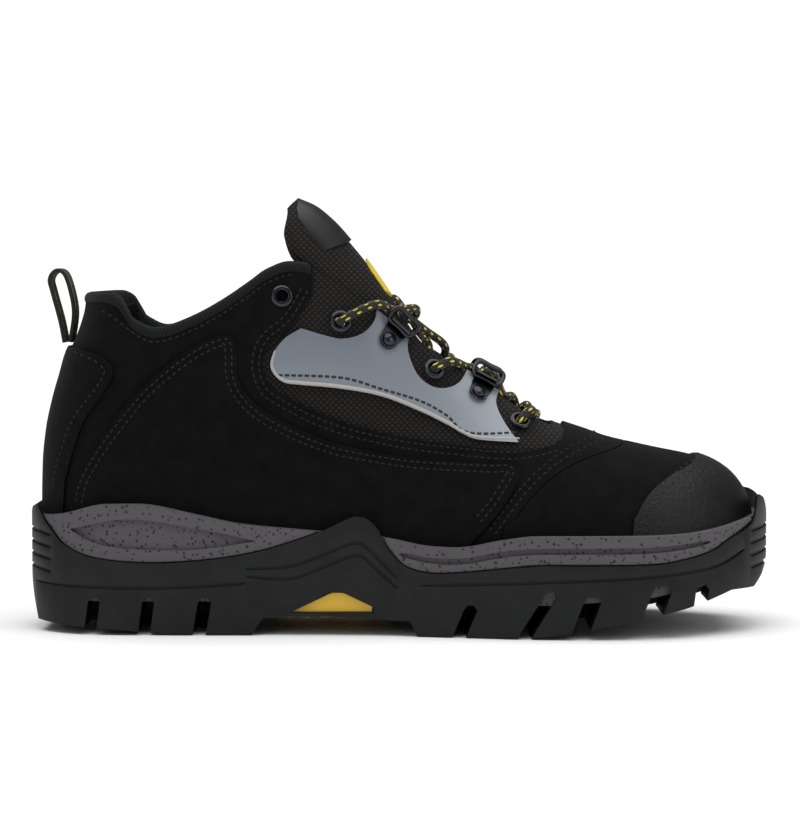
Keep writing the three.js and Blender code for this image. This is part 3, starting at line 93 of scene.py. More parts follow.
# %% [markdown]
# These are the boot's own lines, in millimetres: the outsole's half width on each side, the feather
# line, the ridge over the foot, the curve of the heel, the collar's rim and the edge of the throat.
# Sculpting could find the same shape, but a few named lines keep both sides of the boot related.

# %% The last's lines, in millimetres
LATERAL, MEDIAL = -1, 1
HEEL_BACK, TOE_TIP = -152.5, 152.5
HEEL_ARC, TOE_ARC = -110.0, 85.0
HEEL_POWER, TOE_POWER = 2.3, 2.2
UPPER_INSET = 9.2
UPPER_HEEL, UPPER_REACH = -108.0, 40.0
UPPER_TIP = TOE_TIP - UPPER_INSET
THROAT_TOP, THROAT_ROUND, THROAT_END = -35.0, 48.0, 62.5

swing = smooth_line([(55, 0), (90, 1.2), (115, 2.8), (135, 4.5), (152.5, 6)])
half_width = {
    LATERAL: smooth_line([
        (-152.5, 39), (-100, 39.5), (-40, 40), (-10, 41.5), (20, 47), (50, 53.5), (75, 57),
        (95, 57.5), (152.5, 54),
    ]),
    MEDIAL: smooth_line([
        (-152.5, 36.5), (-70, 36), (-40, 33), (-10, 32.5), (20, 38.5), (50, 49), (75, 55.5),
        (90, 56), (152.5, 46),
    ]),
}
feather_z = smooth_line([(-148, 27), (-60, 25), (20, 20), (75, 20), (120, 25), (145, 29)])
ridge_line = smooth_line([
    (-148, 270), (-100, 240), (-60, 203), (-35, 178), (-21, 161), (-14, 152), (-8, 142.5),
    (-2, 133.5), (5, 126), (17, 115), (30, 104), (41, 96), (48, 91.5), (55, 87.5), (62.5, 83.5),
    (76, 78.8), (85, 75.6), (97, 72.8), (108, 70.4), (120, 68.2), (133, 66), (145, 64),
])
heel_line = smooth_line([
    (26, -141), (40, -143.5), (52, -144.2), (68, -143.8), (81, -142.4), (93, -139.8),
    (104, -136.6), (111, -134.6), (118, -131.4), (125, -128.8), (131, -127.2), (150, -125.5),
])
rim_line = smooth_line([
    (-149, 137.5), (-130, 138), (-119, 136), (-113, 132), (-106.5, 126.5), (-99, 123.5),
    (-94, 124.3), (-84, 128), (-72, 134.5), (-61, 142), (-54, 147), (-45, 150), (-39, 149.5),
    (-35, 147),
])
throat_line = smooth_line([
    (-35, 147), (-26, 141), (-18, 135.5), (-7, 127), (5, 118.3), (17, 110.6), (28, 103),
    (40, 94.9), (48, 89.6), (62.5, 80),
])


# %% [markdown]
# The upper is one surface: a station runs round the heel, along the side and round the toe, and a
# height share runs from the feather line, where it meets the sole, to the ridge over the instep.
# Every panel, stitch and eyelet is placed by asking this surface for a point and its normal.

# %% The upper's surface
def ridge_z(x):
    foot = feather_z(x)
    return foot + (ridge_line(x) - foot) * end_closure(x, 108, UPPER_TIP, 3.4)


def section_width(side, x, z):
    toe = end_closure(x, TOE_ARC, UPPER_TIP, TOE_POWER)
    mean = (half_width[LATERAL](x) + half_width[MEDIAL](x)) / 2
    half = half_width[side](x) + (mean - half_width[side](x)) * fade(38, 85, z)
    flare = 7 * fade(-20, 25, -x) * fade(45, 115, z)
    return (half - UPPER_INSET + flare) * toe


def station_x(u):
    u = np.asarray(u, float)
    heel = UPPER_HEEL - UPPER_REACH * np.cos(np.clip(u, 0, 1) * np.pi / 2) ** (2 / HEEL_POWER)
    side = UPPER_HEEL + (u - 1) * (TOE_ARC - UPPER_HEEL)
    toe = TOE_ARC + (UPPER_TIP - TOE_ARC) * np.sin(np.clip(u - 2, 0, 1) * np.pi / 2)
    return np.where(u < 1, heel, np.where(u <= 2, side, toe))


def surface(side, u, s):
    u, s = np.broadcast_arrays(np.asarray(u, float), np.asarray(s, float))
    x = station_x(u)
    foot = feather_z(x)
    z = foot + (ridge_z(x) - foot) * s
    arch = np.clip(1 - np.clip(s, 0, 1) ** 2, 0, 1) ** (1 / 2.6)
    width = section_width(side, x, z) * arch
    angle = np.clip(u, 0, 1) * np.pi / 2
    reach = UPPER_HEEL - heel_line(z)
    px = np.where(u < 1, UPPER_HEEL - reach * np.cos(angle) ** (2 / HEEL_POWER), x)
    heel_y = side * width * np.sin(angle) ** (2 / HEEL_POWER)
    py = np.where(u < 1, heel_y, swing(x) + side * width)
    return np.stack([px, py, z], -1)


def normal_one(side, u, s):
    step = 0.004
    um = np.clip(u, 2 * step, 3 - 2 * step)
    sm = np.clip(s, step, 1 - 2 * step)
    along = surface(side, um + step, sm) - surface(side, um - step, sm)
    up = surface(side, um, sm + step) - surface(side, um, sm - step)
    n = np.cross(along, up) * -side
    return n / np.maximum(np.linalg.norm(n, axis=-1, keepdims=True), 1e-9)


def normals(side, u, s):
    u, s = np.broadcast_arrays(np.asarray(u, float), np.asarray(s, float))
    n = normal_one(side, u, s)
    other = normal_one(-side, u, s)
    both = n + other
    both[..., 1] = 0
    both = both / np.maximum(np.linalg.norm(both, axis=-1, keepdims=True), 1e-9)
    shared = (u <= 1e-6) | (s >= 1 - 1e-6)
    n = np.where(shared[..., None], both, n)
    tip = u >= 3 - 1e-6
    return np.where(tip[..., None], np.array([1.0, 0, 0]), n)


def station_of(x, z):
    if x < UPPER_HEEL:
        reach = (UPPER_HEEL - x) / (UPPER_HEEL - float(heel_line(z)))
        return math.acos(min(1, max(0, reach)) ** (HEEL_POWER / 2)) * 2 / math.pi
    if x <= TOE_ARC:
        return 1 + (x - UPPER_HEEL) / (TOE_ARC - UPPER_HEEL)
    return 2 + 2 / math.pi * math.asin(min(1, (x - TOE_ARC) / (UPPER_TIP - TOE_ARC)))


def on_upper(side, x, z, offset=0.0):
    u = station_of(x, z)
    nominal = float(station_x(u))
    foot = float(feather_z(nominal))
    s = min(1, (z - foot) / (float(ridge_z(nominal)) - foot))
    n = normals(side, u, s)
    return surface(side, u, s) + n * offset, n


BOOT_SHIFT = -0.182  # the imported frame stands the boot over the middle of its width
print("ridge at the throat", round(float(ridge_z(THROAT_END)), 1), "mm")


# %% [markdown]
# The upper follows the foot, so its pieces are meshes that are worked out point by point from the
# surface above. Primitives and operators can't give that shape. Cuts are booleans of closed solids,
# applied at once, and normals are made to face out before a piece is used.

# %% Helpers that make closed meshes
def new_object(name, verts, faces, uvs=None):
    mesh = bpy.data.meshes.new(name)
    placed = (np.asarray(verts, float) + (0, BOOT_SHIFT, 0)) * MM
    mesh.from_pydata(placed.tolist(), [], faces)
    mesh.update()
    obj = bpy.data.objects.new(name, mesh)
    bpy.context.collection.objects.link(obj)
    if uvs is not None:
        layer = mesh.uv_layers.new(name="surface")
        index = np.zeros(len(mesh.loops), dtype=np.int32)
        mesh.loops.foreach_get("vertex_index", index)
        layer.data.foreach_set("uv", np.asarray(uvs, np.float32)[index].ravel())
    return obj


def only(obj):
    bpy.ops.object.select_all(action="DESELECT")
    obj.select_set(True)
    bpy.context.view_layer.objects.active = obj


def fix_outward(obj):
    bm = bmesh.new()
    bm.from_mesh(obj.data)
    bmesh.ops.recalc_face_normals(bm, faces=bm.faces)
    if bm.calc_volume(signed=True) < 0:
        bmesh.ops.reverse_faces(bm, faces=bm.faces)
    bm.to_mesh(obj.data)
    bm.free()


def smooth(obj, degrees=35):
    only(obj)
    bpy.ops.object.shade_smooth_by_angle(angle=math.radians(degrees))


def boolean(obj, other, operation):
    only(obj)
    mod = obj.modifiers.new("cut", "BOOLEAN")
    mod.operation = operation
    mod.solver = "MANIFOLD"
    mod.object = other
    bpy.ops.object.modifier_apply(modifier=mod.name)
    bpy.data.objects.remove(other, do_unlink=True)
    return obj


# %% [markdown]
# Each finish is a real material. A helper adds one node with its settings and links, and one
# function turns an sRGB hex colour to the linear values that a shader wants.

# %% Material helpers
def linear(hex_colour):
    channels = [int(hex_colour[i:i + 2], 16) / 255 for i in (1, 3, 5)]
    return tuple(c / 12.92 if c <= 0.04045 else ((c + 0.055) / 1.055) ** 2.4 for c in channels) + (1,)


def add(tree, kind, links=None, **settings):
    node = tree.nodes.new("ShaderNode" + kind)
    inputs = settings.pop("inputs", {})
    for key, value in settings.items():
        setattr(node, key, value)
    for key, value in inputs.items():
        node.inputs[key].default_value = value
    for key, source in (links or {}).items():
        tree.links.new(source, node.inputs[key])
    return node


def new_material(name, colour, roughness, metallic=0.0, **sockets):
    mat = bpy.data.materials.new(name)
    mat.use_nodes = True
    shader = mat.node_tree.nodes["Principled BSDF"]
    shader.inputs["Base Color"].default_value = linear(colour)
    shader.inputs["Roughness"].default_value = roughness
    shader.inputs["Metallic"].default_value = metallic
    for key, value in sockets.items():
        shader.inputs[key.replace("_", " ")].default_value = value
    return mat, mat.node_tree, shader


def object_place(tree):
    return add(tree, "TexCoord").outputs["Object"]


def two_tone(tree, shader, factor, dark, light, low=0.4, high=0.6):
    ramp = add(tree, "ValToRGB", {"Fac": factor})
    ramp.color_ramp.elements[0].position = low
    ramp.color_ramp.elements[1].position = high
    ramp.color_ramp.elements[0].color = linear(dark)
    ramp.color_ramp.elements[1].color = linear(light)
    tree.links.new(ramp.outputs["Color"], shader.inputs["Base Color"])


def bumped(tree, shader, height, strength, depth_mm):
    bump = add(tree, "Bump", {"Height": height}, inputs={"Strength": strength, "Distance": depth_mm * MM})
    tree.links.new(bump.outputs["Normal"], shader.inputs["Normal"])


def noise(tree, place, size_mm, detail=3.0):
    return add(tree, "TexNoise", {"Vector": place}, inputs={"Scale": 1 / (size_mm * MM), "Detail": detail})


def cells(tree, place, size_mm):
    return add(tree, "TexVoronoi", {"Vector": place}, inputs={"Scale": 1 / (size_mm * MM)})


# %% [markdown]
# Suede is leather with its flesh side brushed up: no gloss, a soft edge light and a short nap that
# lies in patches. Grained leather is the smooth side, embossed with pebbles about 1.5 mm wide.

# %% Suede and leather
def make_suede(name, dark, light):
    mat, tree, shader = new_material(name, dark, 0.93, Specular_IOR_Level=0.1, Sheen_Weight=0.02,
                                     Sheen_Roughness=0.5)
    place = object_place(tree)
    two_tone(tree, shader, noise(tree, place, 7).outputs["Fac"], dark, light, 0.35, 0.7)
    bumped(tree, shader, noise(tree, place, 0.55, 6).outputs["Fac"], 0.55, 0.25)
    return mat


def make_leather():
    mat, tree, shader = new_material("grained_leather", "#0b0b0c", 0.48, Specular_IOR_Level=0.22)
    place = object_place(tree)
    two_tone(tree, shader, noise(tree, place, 12).outputs["Fac"], "#09090a", "#0f0f11")
    bumped(tree, shader, cells(tree, place, 1.5).outputs["Distance"], 0.5, 0.3)
    return mat


SUEDE = make_suede("brushed_suede", "#070708", "#0d0d0e")
SUEDE_EDGE = new_material("cut_leather_edge", "#2b3138", 0.8, Specular_IOR_Level=0.2)[0]
LEATHER = make_leather()
THREAD = new_material("twisted_polyester_thread", "#15171a", 0.6, Specular_IOR_Level=0.25)[0]
print("leathers", SUEDE.name, SUEDE_EDGE.name, LEATHER.name)


# %% [markdown]
# The textile is an open knit: black yarns over a warm dark backing. Two sets of bands that cross at
# right angles leave small holes, about 1.7 mm apart, where the backing shows. A pattern of two
# sine waves gives both
# the holes and their relief, and needs no image.

# %% Textiles
def crossed(tree, place, size_mm, lean=1.0):
    heights = []
    for sign in (lean, -lean):
        parts = add(tree, "SeparateXYZ", {"Vector": place})
        slope = add(tree, "Math", {0: parts.outputs["Z"]}, operation="MULTIPLY", inputs={1: sign})
        along = add(tree, "Math", {0: parts.outputs["X"], 1: slope.outputs[0]}, operation="ADD")
        turns = add(tree, "Math", {0: along.outputs[0]}, operation="MULTIPLY",
                    inputs={1: 2 * math.pi / (size_mm * MM)})
        heights.append(add(tree, "Math", {0: turns.outputs[0]}, operation="SINE").outputs[0])
    return add(tree, "Math", {0: heights[0], 1: heights[1]}, operation="MAXIMUM").outputs[0]


def make_mesh_cloth():
    mat, tree, shader = new_material("open_knit_textile", "#141312", 0.88, Specular_IOR_Level=0.2,
                                     Sheen_Weight=0.03)
    place = object_place(tree)
    weave = crossed(tree, place, 2.4)
    two_tone(tree, shader, weave, "#29241f", "#0d0d0e", 0.1, 0.45)
    bumped(tree, shader, weave, 0.6, 0.35)
    return mat


def make_knit(name, dark, light, size_mm):
    mat, tree, shader = new_material(name, dark, 0.9, Specular_IOR_Level=0.2, Sheen_Weight=0.04)
    weave = crossed(tree, object_place(tree), size_mm, 0.55)
    two_tone(tree, shader, weave, dark, light, 0.2, 0.9)
    bumped(tree, shader, weave, 0.5, 0.25)
    return mat


MESH_CLOTH = make_mesh_cloth()
COLLAR_KNIT = make_knit("collar_knit", "#0b0c0d", "#16171a", 1.5)
LINING_KNIT = make_knit("lining_knit", "#0e0e10", "#1a1a1c", 1.8)
print("textiles", MESH_CLOTH.name, COLLAR_KNIT.name, LINING_KNIT.name)


# %% [markdown]
# The sole has two layers. The midsole is moulded foam with black regrind crumbs in it, half a
# millimetre to two across. The outsole is carbon rubber with a fine spark-eroded texture.

# %% Sole materials and hardware metal
def make_foam():
    mat, tree, shader = new_material("speckled_foam", "#5f5b60", 0.72)
    place = object_place(tree)
    spread = noise(tree, place, 1.1, 2)
    shifted = add(tree, "MixRGB", {"Color1": place, "Color2": spread.outputs["Color"]},
                  inputs={"Fac": 0.0012})
    speck = cells(tree, shifted.outputs["Color"], 2.1).outputs["Distance"]
    two_tone(tree, shader, speck, "#0e0e10", "#4a474b", 0.22, 0.29)
    bumped(tree, shader, noise(tree, place, 0.6, 3).outputs["Fac"], 0.25, 0.15)
    return mat


def make_rubber():
    mat, tree, shader = new_material("moulded_carbon_rubber", "#0f1011", 0.55, Specular_IOR_Level=0.25)
    place = object_place(tree)
    two_tone(tree, shader, noise(tree, place, 9).outputs["Fac"], "#0d0e0f", "#131416")
    bumped(tree, shader, noise(tree, place, 0.5, 3).outputs["Fac"], 0.35, 0.18)
    return mat


def make_moulded():
    mat, tree, shader = new_material("moulded_polyurethane", "#6b7179", 0.33, Specular_IOR_Level=0.55)
    place = object_place(tree)
    # The base colour grows darker with height, from the overlay's lower edge to its top: painted shade.
    height = add(tree, "SeparateXYZ", {"Vector": place}).outputs["Z"]
    share = add(tree, "MapRange", {"Value": height},
                inputs={"From Min": 0.078, "From Max": 0.128})
    two_tone(tree, shader, share.outputs[0], "#868c94", "#646b75", 0.0, 1.0)
    bumped(tree, shader, noise(tree, place, 0.8, 2).outputs["Fac"], 0.08, 0.1)
    return mat


FOAM = make_foam()
RUBBER = make_rubber()
MOULDED = make_moulded()
# The pale rim colour is a painted highlight, used on the overlay's bead and its cut edges.
OVERLAY_RIM_HIGHLIGHT = new_material("painted_highlight_rim", "#a09f9d", 0.38)[0]
AMBER = new_material("amber_nylon", "#d9ae2c", 0.38)[0]
GUNMETAL = new_material("gunmetal_plated_steel", "#3a3b3f", 0.24, 1.0)[0]
LABEL = new_material("heat_pressed_patch", "#0f1012", 0.45, Specular_IOR_Level=0.35)[0]
YELLOW = new_material("woven_yellow_trim", "#d8b92e", 0.7)[0]
BOARD = new_material("fibre_board", "#8a8378", 0.9)[0]
print("sole", FOAM.name, RUBBER.name, "metal", GUNMETAL.name)


# %% [markdown]
# A sole is drawn twice: its outline from above, and its profile from the side. A solid of each,
# crossed with the other, gives the block that the lugs and grooves are then cut into.

# %% Sole outlines and prisms
def plan_half(side, x, inset):
    heel = end_closure(-x, -HEEL_ARC, -(HEEL_BACK + inset), HEEL_POWER)
    toe = end_closure(x, TOE_ARC, TOE_TIP - inset, TOE_POWER)
    return np.maximum(0, half_width[side](x) - inset) * heel * toe


def plan_loop(inset, steps=110):
    reach = (TOE_TIP - HEEL_BACK) / 2 - inset
    x = -reach * np.cos(np.linspace(0, np.pi, steps + 1))
    low = np.stack([x, swing(x) - plan_half(LATERAL, x, inset)], -1)
    high = np.stack([x, swing(x) + plan_half(MEDIAL, x, inset)], -1)[1:-1][::-1]
    return np.concatenate([low, high])


def prism(name, loop, start, end, axis):
    loop = np.asarray(loop, float)
    count = len(loop)
    verts = []
    for level in (start, end):
        other = np.full(count, float(level))
        stack = [loop[:, 0], loop[:, 1], other] if axis == "Z" else [loop[:, 0], other, loop[:, 1]]
        verts.append(np.stack(stack, -1))
    faces = [[i, (i + 1) % count, (i + 1) % count + count, i + count] for i in range(count)]
    faces += [list(range(count))[::-1], [i + count for i in range(count)]]
    obj = new_object(name, np.concatenate(verts), faces)
    fix_outward(obj)
    return obj


# %% [markdown]
# A seam or a sole profile is a run of points with a smooth curve through them, and corners where
# runs meet. Each outline is pushed sideways through the boot as a cutter.

# %% Curves, outlines and cuts
def curve_through(points, per=6):
    pts = [Vector(p) for p in points]
    out = [pts[0]]
    for i in range(len(pts) - 1):
        a, b = pts[max(i - 1, 0)], pts[i]
        c, d = pts[i + 1], pts[min(i + 2, len(pts) - 1)]
        for k in range(1, per + 1):
            t = k / per
            out.append(0.5 * (2 * b + (c - a) * t + (2 * a - 5 * b + 4 * c - d) * t**2
                              + (3 * b - a - 3 * c + d) * t**3))
    return out


def outline(runs, per=6):
    points = [Vector(runs[0][0])]
    for run in runs:
        points += curve_through(run, per)[1:] if len(run) > 2 else [Vector(run[1])]
    if (points[0] - points[-1]).length < 1e-6:
        points.pop()
    return [tuple(p) for p in points]


def side_cut(obj, runs, edge=None, per=6):
    cutter = prism("cutter", outline(runs, per), -BEYOND, BEYOND, "Y")
    if edge is not None:
        cutter.data.materials.append(edge)
        if not obj.data.materials:
            obj.data.materials.append(SUEDE)
    return boolean(obj, cutter, "INTERSECT")


def band_round(points, width):
    line = curve_through(points, 6)
    left, right = [], []
    for i, p in enumerate(line):
        t = (line[min(i + 1, len(line) - 1)] - line[max(i - 1, 0)]).normalized()
        half = width / 2 * math.sqrt(max(0.04, 1 - (2 * i / (len(line) - 1) - 1) ** 8))
        left.append((p.x - t.y * half, p.y + t.x * half))
        right.append((p.x + t.y * half, p.y - t.x * half))
    return left + right[::-1]


def carve(obj, loop, depth, inset=0.0):
    groove = prism("groove", loop, -BEYOND, BEYOND, "Y")
    keep = prism("keep", plan_loop(inset + depth), -20, 90, "Z")
    boolean(groove, keep, "DIFFERENCE")
    return boolean(obj, groove, "DIFFERENCE")


def soften(obj, width_mm, segments=2, degrees=38):
    only(obj)
    mod = obj.modifiers.new("soft edge", "BEVEL")
    mod.width = width_mm * MM
    mod.segments = segments
    mod.limit_method = "ANGLE"
    mod.angle_limit = math.radians(degrees)
    bpy.ops.object.modifier_apply(modifier=mod.name)


# %% [markdown]
# The outsole is one moulding of hard rubber. Its sides climb to a point at the arch, round the heel
# and up over the toe as a bumper, and its lugs are split by gaps that open at the side. It is a
# block cut to its side profile, hollowed like a tray for the foam, then cut by lug gaps, a long
# groove along each row, cross gaps, the arch window and thin contour grooves, and bevelled.

# %% Outsole
OUTSOLE_SIDE = [
    [(-150.9, 50.1), (-152.5, 44.7), (-152.5, 28.9), (-151, 17), (-148, 4.5)],
    [(-148, 4.5), (-130, 3), (-108, 1.5), (-90, 0)],
    [(-90, 0), (-60, 0)],
    [(-60, 0), (-55, 7)],
    [(-55, 7), (-28, 7.5), (4, 6)],
    [(4, 6), (7, 0)],
    [(7, 0), (47, 0)],
    [(47, 0), (66, 2), (91, 7), (115, 12), (134, 18)],
    [(134, 18), (144.5, 18)],
    [(144.5, 18), (149, 23), (151.9, 30), (152.5, 38), (152, 46), (149.5, 53.5), (146, 55)],
    [(146, 55), (143.6, 44.5), (132.6, 38.4), (124.6, 34), (112, 31), (98, 29.6), (58, 29.4)],
    [(58, 29.4), (43, 28), (25.6, 26), (12.4, 25.4), (2, 28), (-5.2, 35.5), (-8.6, 42.5)],
    [(-8.6, 42.5), (-12.4, 46.4), (-16.4, 47.8), (-20.4, 47.2), (-30.5, 42.3)],
    [(-30.5, 42.3), (-45, 37.1), (-60, 33), (-76, 30.4), (-95, 29), (-112, 29.4), (-126, 31.4)],
    [(-126, 31.4), (-136, 35.8), (-141, 41), (-144.5, 45), (-148.2, 50.4), (-150.9, 50.1)],
]
ARCH_WINDOW = [(-44, 9.2), (-28, 17.4), (-23, 17.6), (-10.5, 11.4), (-10.8, 9.4)]
# Where each gap between side lugs starts at the ground, its width, its lean and its top.
SIDE_GAPS = [
    (-128, 5, 2, 15), (-106, 5, 2, 15), (-84, 5.5, 2.5, 15), (20.5, 5.5, 5, 13),
    (46, 5.5, 11, 19), (67, 7, 6, 17), (92.5, 8, 8, 21), (115.5, 5.5, 3, 21),
]
LUG_REACH = 15


def block(x, y, z):
    return prism("block", [(x[0], y[0]), (x[1], y[0]), (x[1], y[1]), (x[0], y[1])], z[0], z[1], "Z")


def make_outsole():
    sole = prism("sole_rubber", plan_loop(0), -2, 60, "Z")
    side_cut(sole, OUTSOLE_SIDE)
    tray = prism("tray", plan_loop(2.6), 0, 70, "Z")
    side_cut(tray, [[(-160, 13), (60, 13)], [(60, 13), (100, 16)], [(100, 16), (125, 20.5)],
                    [(125, 20.5), (160, 27)], [(160, 27), (160, 75)], [(160, 75), (-160, 75)],
                    [(-160, 75), (-160, 13)]])
    boolean(sole, tray, "DIFFERENCE")
    for x, width, lean, top in SIDE_GAPS:
        for y in ((-BEYOND, -LUG_REACH), (LUG_REACH, BEYOND)):
            loop = [(x, -1), (x + width, -1), (x + width + lean, top - 2), (x + width + lean - 1.5, top),
                    (x + lean + 1.5, top), (x + lean, top - 2)]
            boolean(sole, prism("gap", loop, y[0], y[1], "Y"), "DIFFERENCE")
    floor = [(-146, -2), (60, -2), (134, 14), (134, 24), (112, 17), (60, 6), (-146, 6)]
    for side in (LATERAL, MEDIAL):
        y = side * LUG_REACH
        boolean(sole, prism("long_groove", floor, y - 2.5, y + 2.5, "Y"), "DIFFERENCE")
    for x in (-132, -116, -100, 18, 34, 50, 66, 82, 98, 114):
        rise = max(0, x - 50) * 0.2 + (1.5 if x < -90 else 0)
        cut = block((x - 2.5, x + 2.5), (-LUG_REACH, LUG_REACH), (rise - 6, rise + 6))
        boolean(sole, cut, "DIFFERENCE")
    boolean(sole, prism("window", ARCH_WINDOW, -BEYOND, BEYOND, "Y"), "DIFFERENCE")
    boolean(sole, block((-49, -6), (-20, 20), (-8, 7.2)), "DIFFERENCE")
    # Contour grooves that echo the arch, ribs round the heel and a step along the lug tops.
    for drop in (5.5, 10.5):
        carve(sole, band_round([(-62, 30 - drop * 0.6), (-44, 33.5 - drop), (-30, 38.4 - drop),
                                (-17, 43 - drop), (-9, 37 - drop), (-1, 27.5 - drop * 0.8)], 1.5), 0.9)
    carve(sole, band_round([(-149, 20), (-110, 19), (-84, 19.5), (-62, 21)], 1.4), 0.9)
    carve(sole, band_round([(8, 20.5), (40, 22), (70, 23.5), (100, 25), (126, 28), (140, 34)], 1.4), 0.9)
    for z in (26, 31, 36, 41):
        carve(sole, band_round([(-156, z), (-149, z), (-141.5, z - 1.5)], 1.6), 1.0)
    for z in (27, 32, 37, 42):
        carve(sole, band_round([(142.5, z - 1), (149, z), (156, z + 0.5)], 1.6), 1.0)
    soften(sole, 0.55)
    sole.data.materials.clear()
    sole.data.materials.append(RUBBER)
    smooth(sole, 30)
    return sole


OUTSOLE = make_outsole()
print("outsole faces", len(OUTSOLE.data.polygons))
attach(OUTSOLE, "boot")
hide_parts("outsole")


# %% [markdown]
# The midsole is soft foam between the upper and the rubber. Its wall shows in two bands, behind and
# in front of the arch. The rear band has an almond-shaped recess and the front one a long groove.
# A core that fits in the rubber tray is joined to the two bands, and room is cut for the upper.

# %% Midsole
midsole_top = smooth_line([
    (-150, 46.5), (-138, 48), (-119, 52.6), (-106, 52.8), (-81, 48.3), (-65, 44.9), (-38, 42.3),
    (-22, 41), (-6, 39.4), (12, 36.2), (22, 35.8), (43, 39.4), (55, 40.8), (99, 41), (114, 41.4),
    (128, 43), (140, 45.4), (148, 47),
])


def upper_room(extra):
    u = stations()
    levels = [0, 0.03, 0.06, 0.1, 0.14, 0.2, 0.3, 0.5, 0.7, 0.86]
    columns = []
    for side in (LATERAL, MEDIAL):
        s = np.array(levels)[None, :]
        p = surface(side, u[:, None], s) + normals(side, u[:, None], s) * extra
        foot = p[:, :1].copy()
        foot[:, 0, 2] = feather_z(station_x(u)) - 2.6
        columns.append(np.concatenate([foot, p], 1))
    rows = columns[0].shape[1]
    grid = np.concatenate(columns, 1)
    count = len(u)
    wide = grid.shape[1]
    faces = []
    for i in range(count - 1):
        a, b = i * wide, (i + 1) * wide
        for j in range(rows - 1):
            faces.append([a + j, b + j, b + j + 1, a + j + 1])
            faces.append([a + rows + j + 1, b + rows + j + 1, b + rows + j, a + rows + j])
        faces.append([a + rows, b + rows, b, a])
        faces.append([a + rows - 1, b + rows - 1, b + wide - 1, a + wide - 1])
    obj = new_object("room", grid.reshape(-1, 3), faces)
    weld(obj)
    return obj


def weld(obj, gap=2e-6):
    bm = bmesh.new()
    bm.from_mesh(obj.data)
    bmesh.ops.remove_doubles(bm, verts=bm.verts, dist=gap)
    bmesh.ops.dissolve_degenerate(bm, edges=bm.edges, dist=gap)
    bmesh.ops.recalc_face_normals(bm, faces=bm.faces)
    if bm.calc_volume(signed=True) < 0:
        bmesh.ops.reverse_faces(bm, faces=bm.faces)
    bm.to_mesh(obj.data)
    bm.free()


def stations():
    heel = np.linspace(0, 1, 22)
    xs = np.concatenate([np.arange(UPPER_HEEL + 1.7, 52, 1.75), np.linspace(52, 60, 7),
                         np.linspace(60.6, THROAT_END, 6), np.linspace(64, TOE_ARC, 14)])
    xs = np.append(xs, THROAT_TOP)
    side = 1 + (np.unique(np.round(xs, 4)) - UPPER_HEEL) / (TOE_ARC - UPPER_HEEL)
    toe = np.linspace(2, 3, 30)[1:]
    return np.concatenate([heel, side, toe])


def make_midsole():
    low = [(-152, 13.3), (60, 13.3), (100, 16.3), (125, 20.8), (160, 27.3)]
    top = [(float(x), float(midsole_top(x))) for x in np.arange(160, -153, -4)]
    core = prism("foam_midsole", plan_loop(2.9), 0, 80, "Z")
    boolean(core, prism("height", low + top, -BEYOND, BEYOND, "Y"), "INTERSECT")
    rear = [[(-153, 46), (-148.2, 50.9), (-144, 45.6), (-140.4, 41.4), (-135.6, 36.4), (-126, 32),
             (-112, 30), (-95, 29.6), (-76, 31), (-60, 33.6), (-45, 37.7), (-31, 42.7)],
            [(-31, 42.7), (-31, 60)], [(-31, 60), (-153, 60)], [(-153, 60), (-153, 46)]]
    front = [[(-8, 43), (-4.6, 36), (2.4, 28.6), (12.4, 26), (25.6, 26.6), (43, 28.6), (58, 30),
              (98, 30.2), (112, 31.6), (124.4, 34.6), (132.4, 39), (143, 45)],
             [(143, 45), (145, 60)], [(145, 60), (-8, 60)], [(-8, 60), (-8, 43)]]
    for runs in (rear, front):
        band = prism("band", plan_loop(0.9), 0, 80, "Z")
        boolean(band, prism("height", low + top, -BEYOND, BEYOND, "Y"), "INTERSECT")
        side_cut(band, runs)
        boolean(core, band, "UNION")
    boolean(core, upper_room(4.6), "DIFFERENCE")
    boolean(core, prism("window", ARCH_WINDOW, -BEYOND, BEYOND, "Y"), "DIFFERENCE")
    almond = outline([[(-133.6, 42.3), (-109.5, 46.7), (-80.7, 42.7), (-57.8, 37.9)],
                      [(-57.8, 37.9), (-85.9, 34.2), (-118.8, 35.8), (-133.6, 42.3)]])
    carve(core, almond, 1.8, 0.9)
    carve(core, band_round([(-0.4, 33), (12.4, 30.6), (25.6, 30.6), (37.9, 33), (53, 34.9), (78.7, 35.3),
                            (104, 35.7), (124.6, 38)], 2.4), 1.6, 0.9)
    soften(core, 0.6)
    core.data.materials.clear()
    core.data.materials.append(FOAM)
    smooth(core, 30)
    return core


MIDSOLE = make_midsole()
print("midsole faces", len(MIDSOLE.data.polygons))
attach(MIDSOLE, "boot")
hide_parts("midsole")


# %% [markdown]
# The upper is built in layers, as it is sewn. A closed shell is made at a layer's own height over
# the lining, and a panel is that shell crossed with the panel's outline from the side. The cutter
# carries the colour of a cut edge, so the panel's rim shows the pale core of the leather.

# %% Shells of the upper
def top_share(u, rim_drop, gap_growth, lift):
    x = station_x(u)
    foot = feather_z(x)
    tall = ridge_z(x) - foot
    drop = rim_drop * fade(0, 12, THROAT_TOP - x)
    rim = (rim_line(x) - drop + lift - foot) / np.maximum(tall, 1e-6)
    end = THROAT_END + gap_growth / 2
    ease = np.sqrt(1 - np.clip((x - THROAT_ROUND) / (end - THROAT_ROUND), 0, 1) ** 2)
    share = (throat_line(x) - gap_growth * 0.8 - foot) / np.maximum(tall, 1e-6)
    throat = np.where(x >= end - 1e-6, 1.0, 1 - (1 - share) * ease)
    return np.where(x < THROAT_TOP, rim, throat)


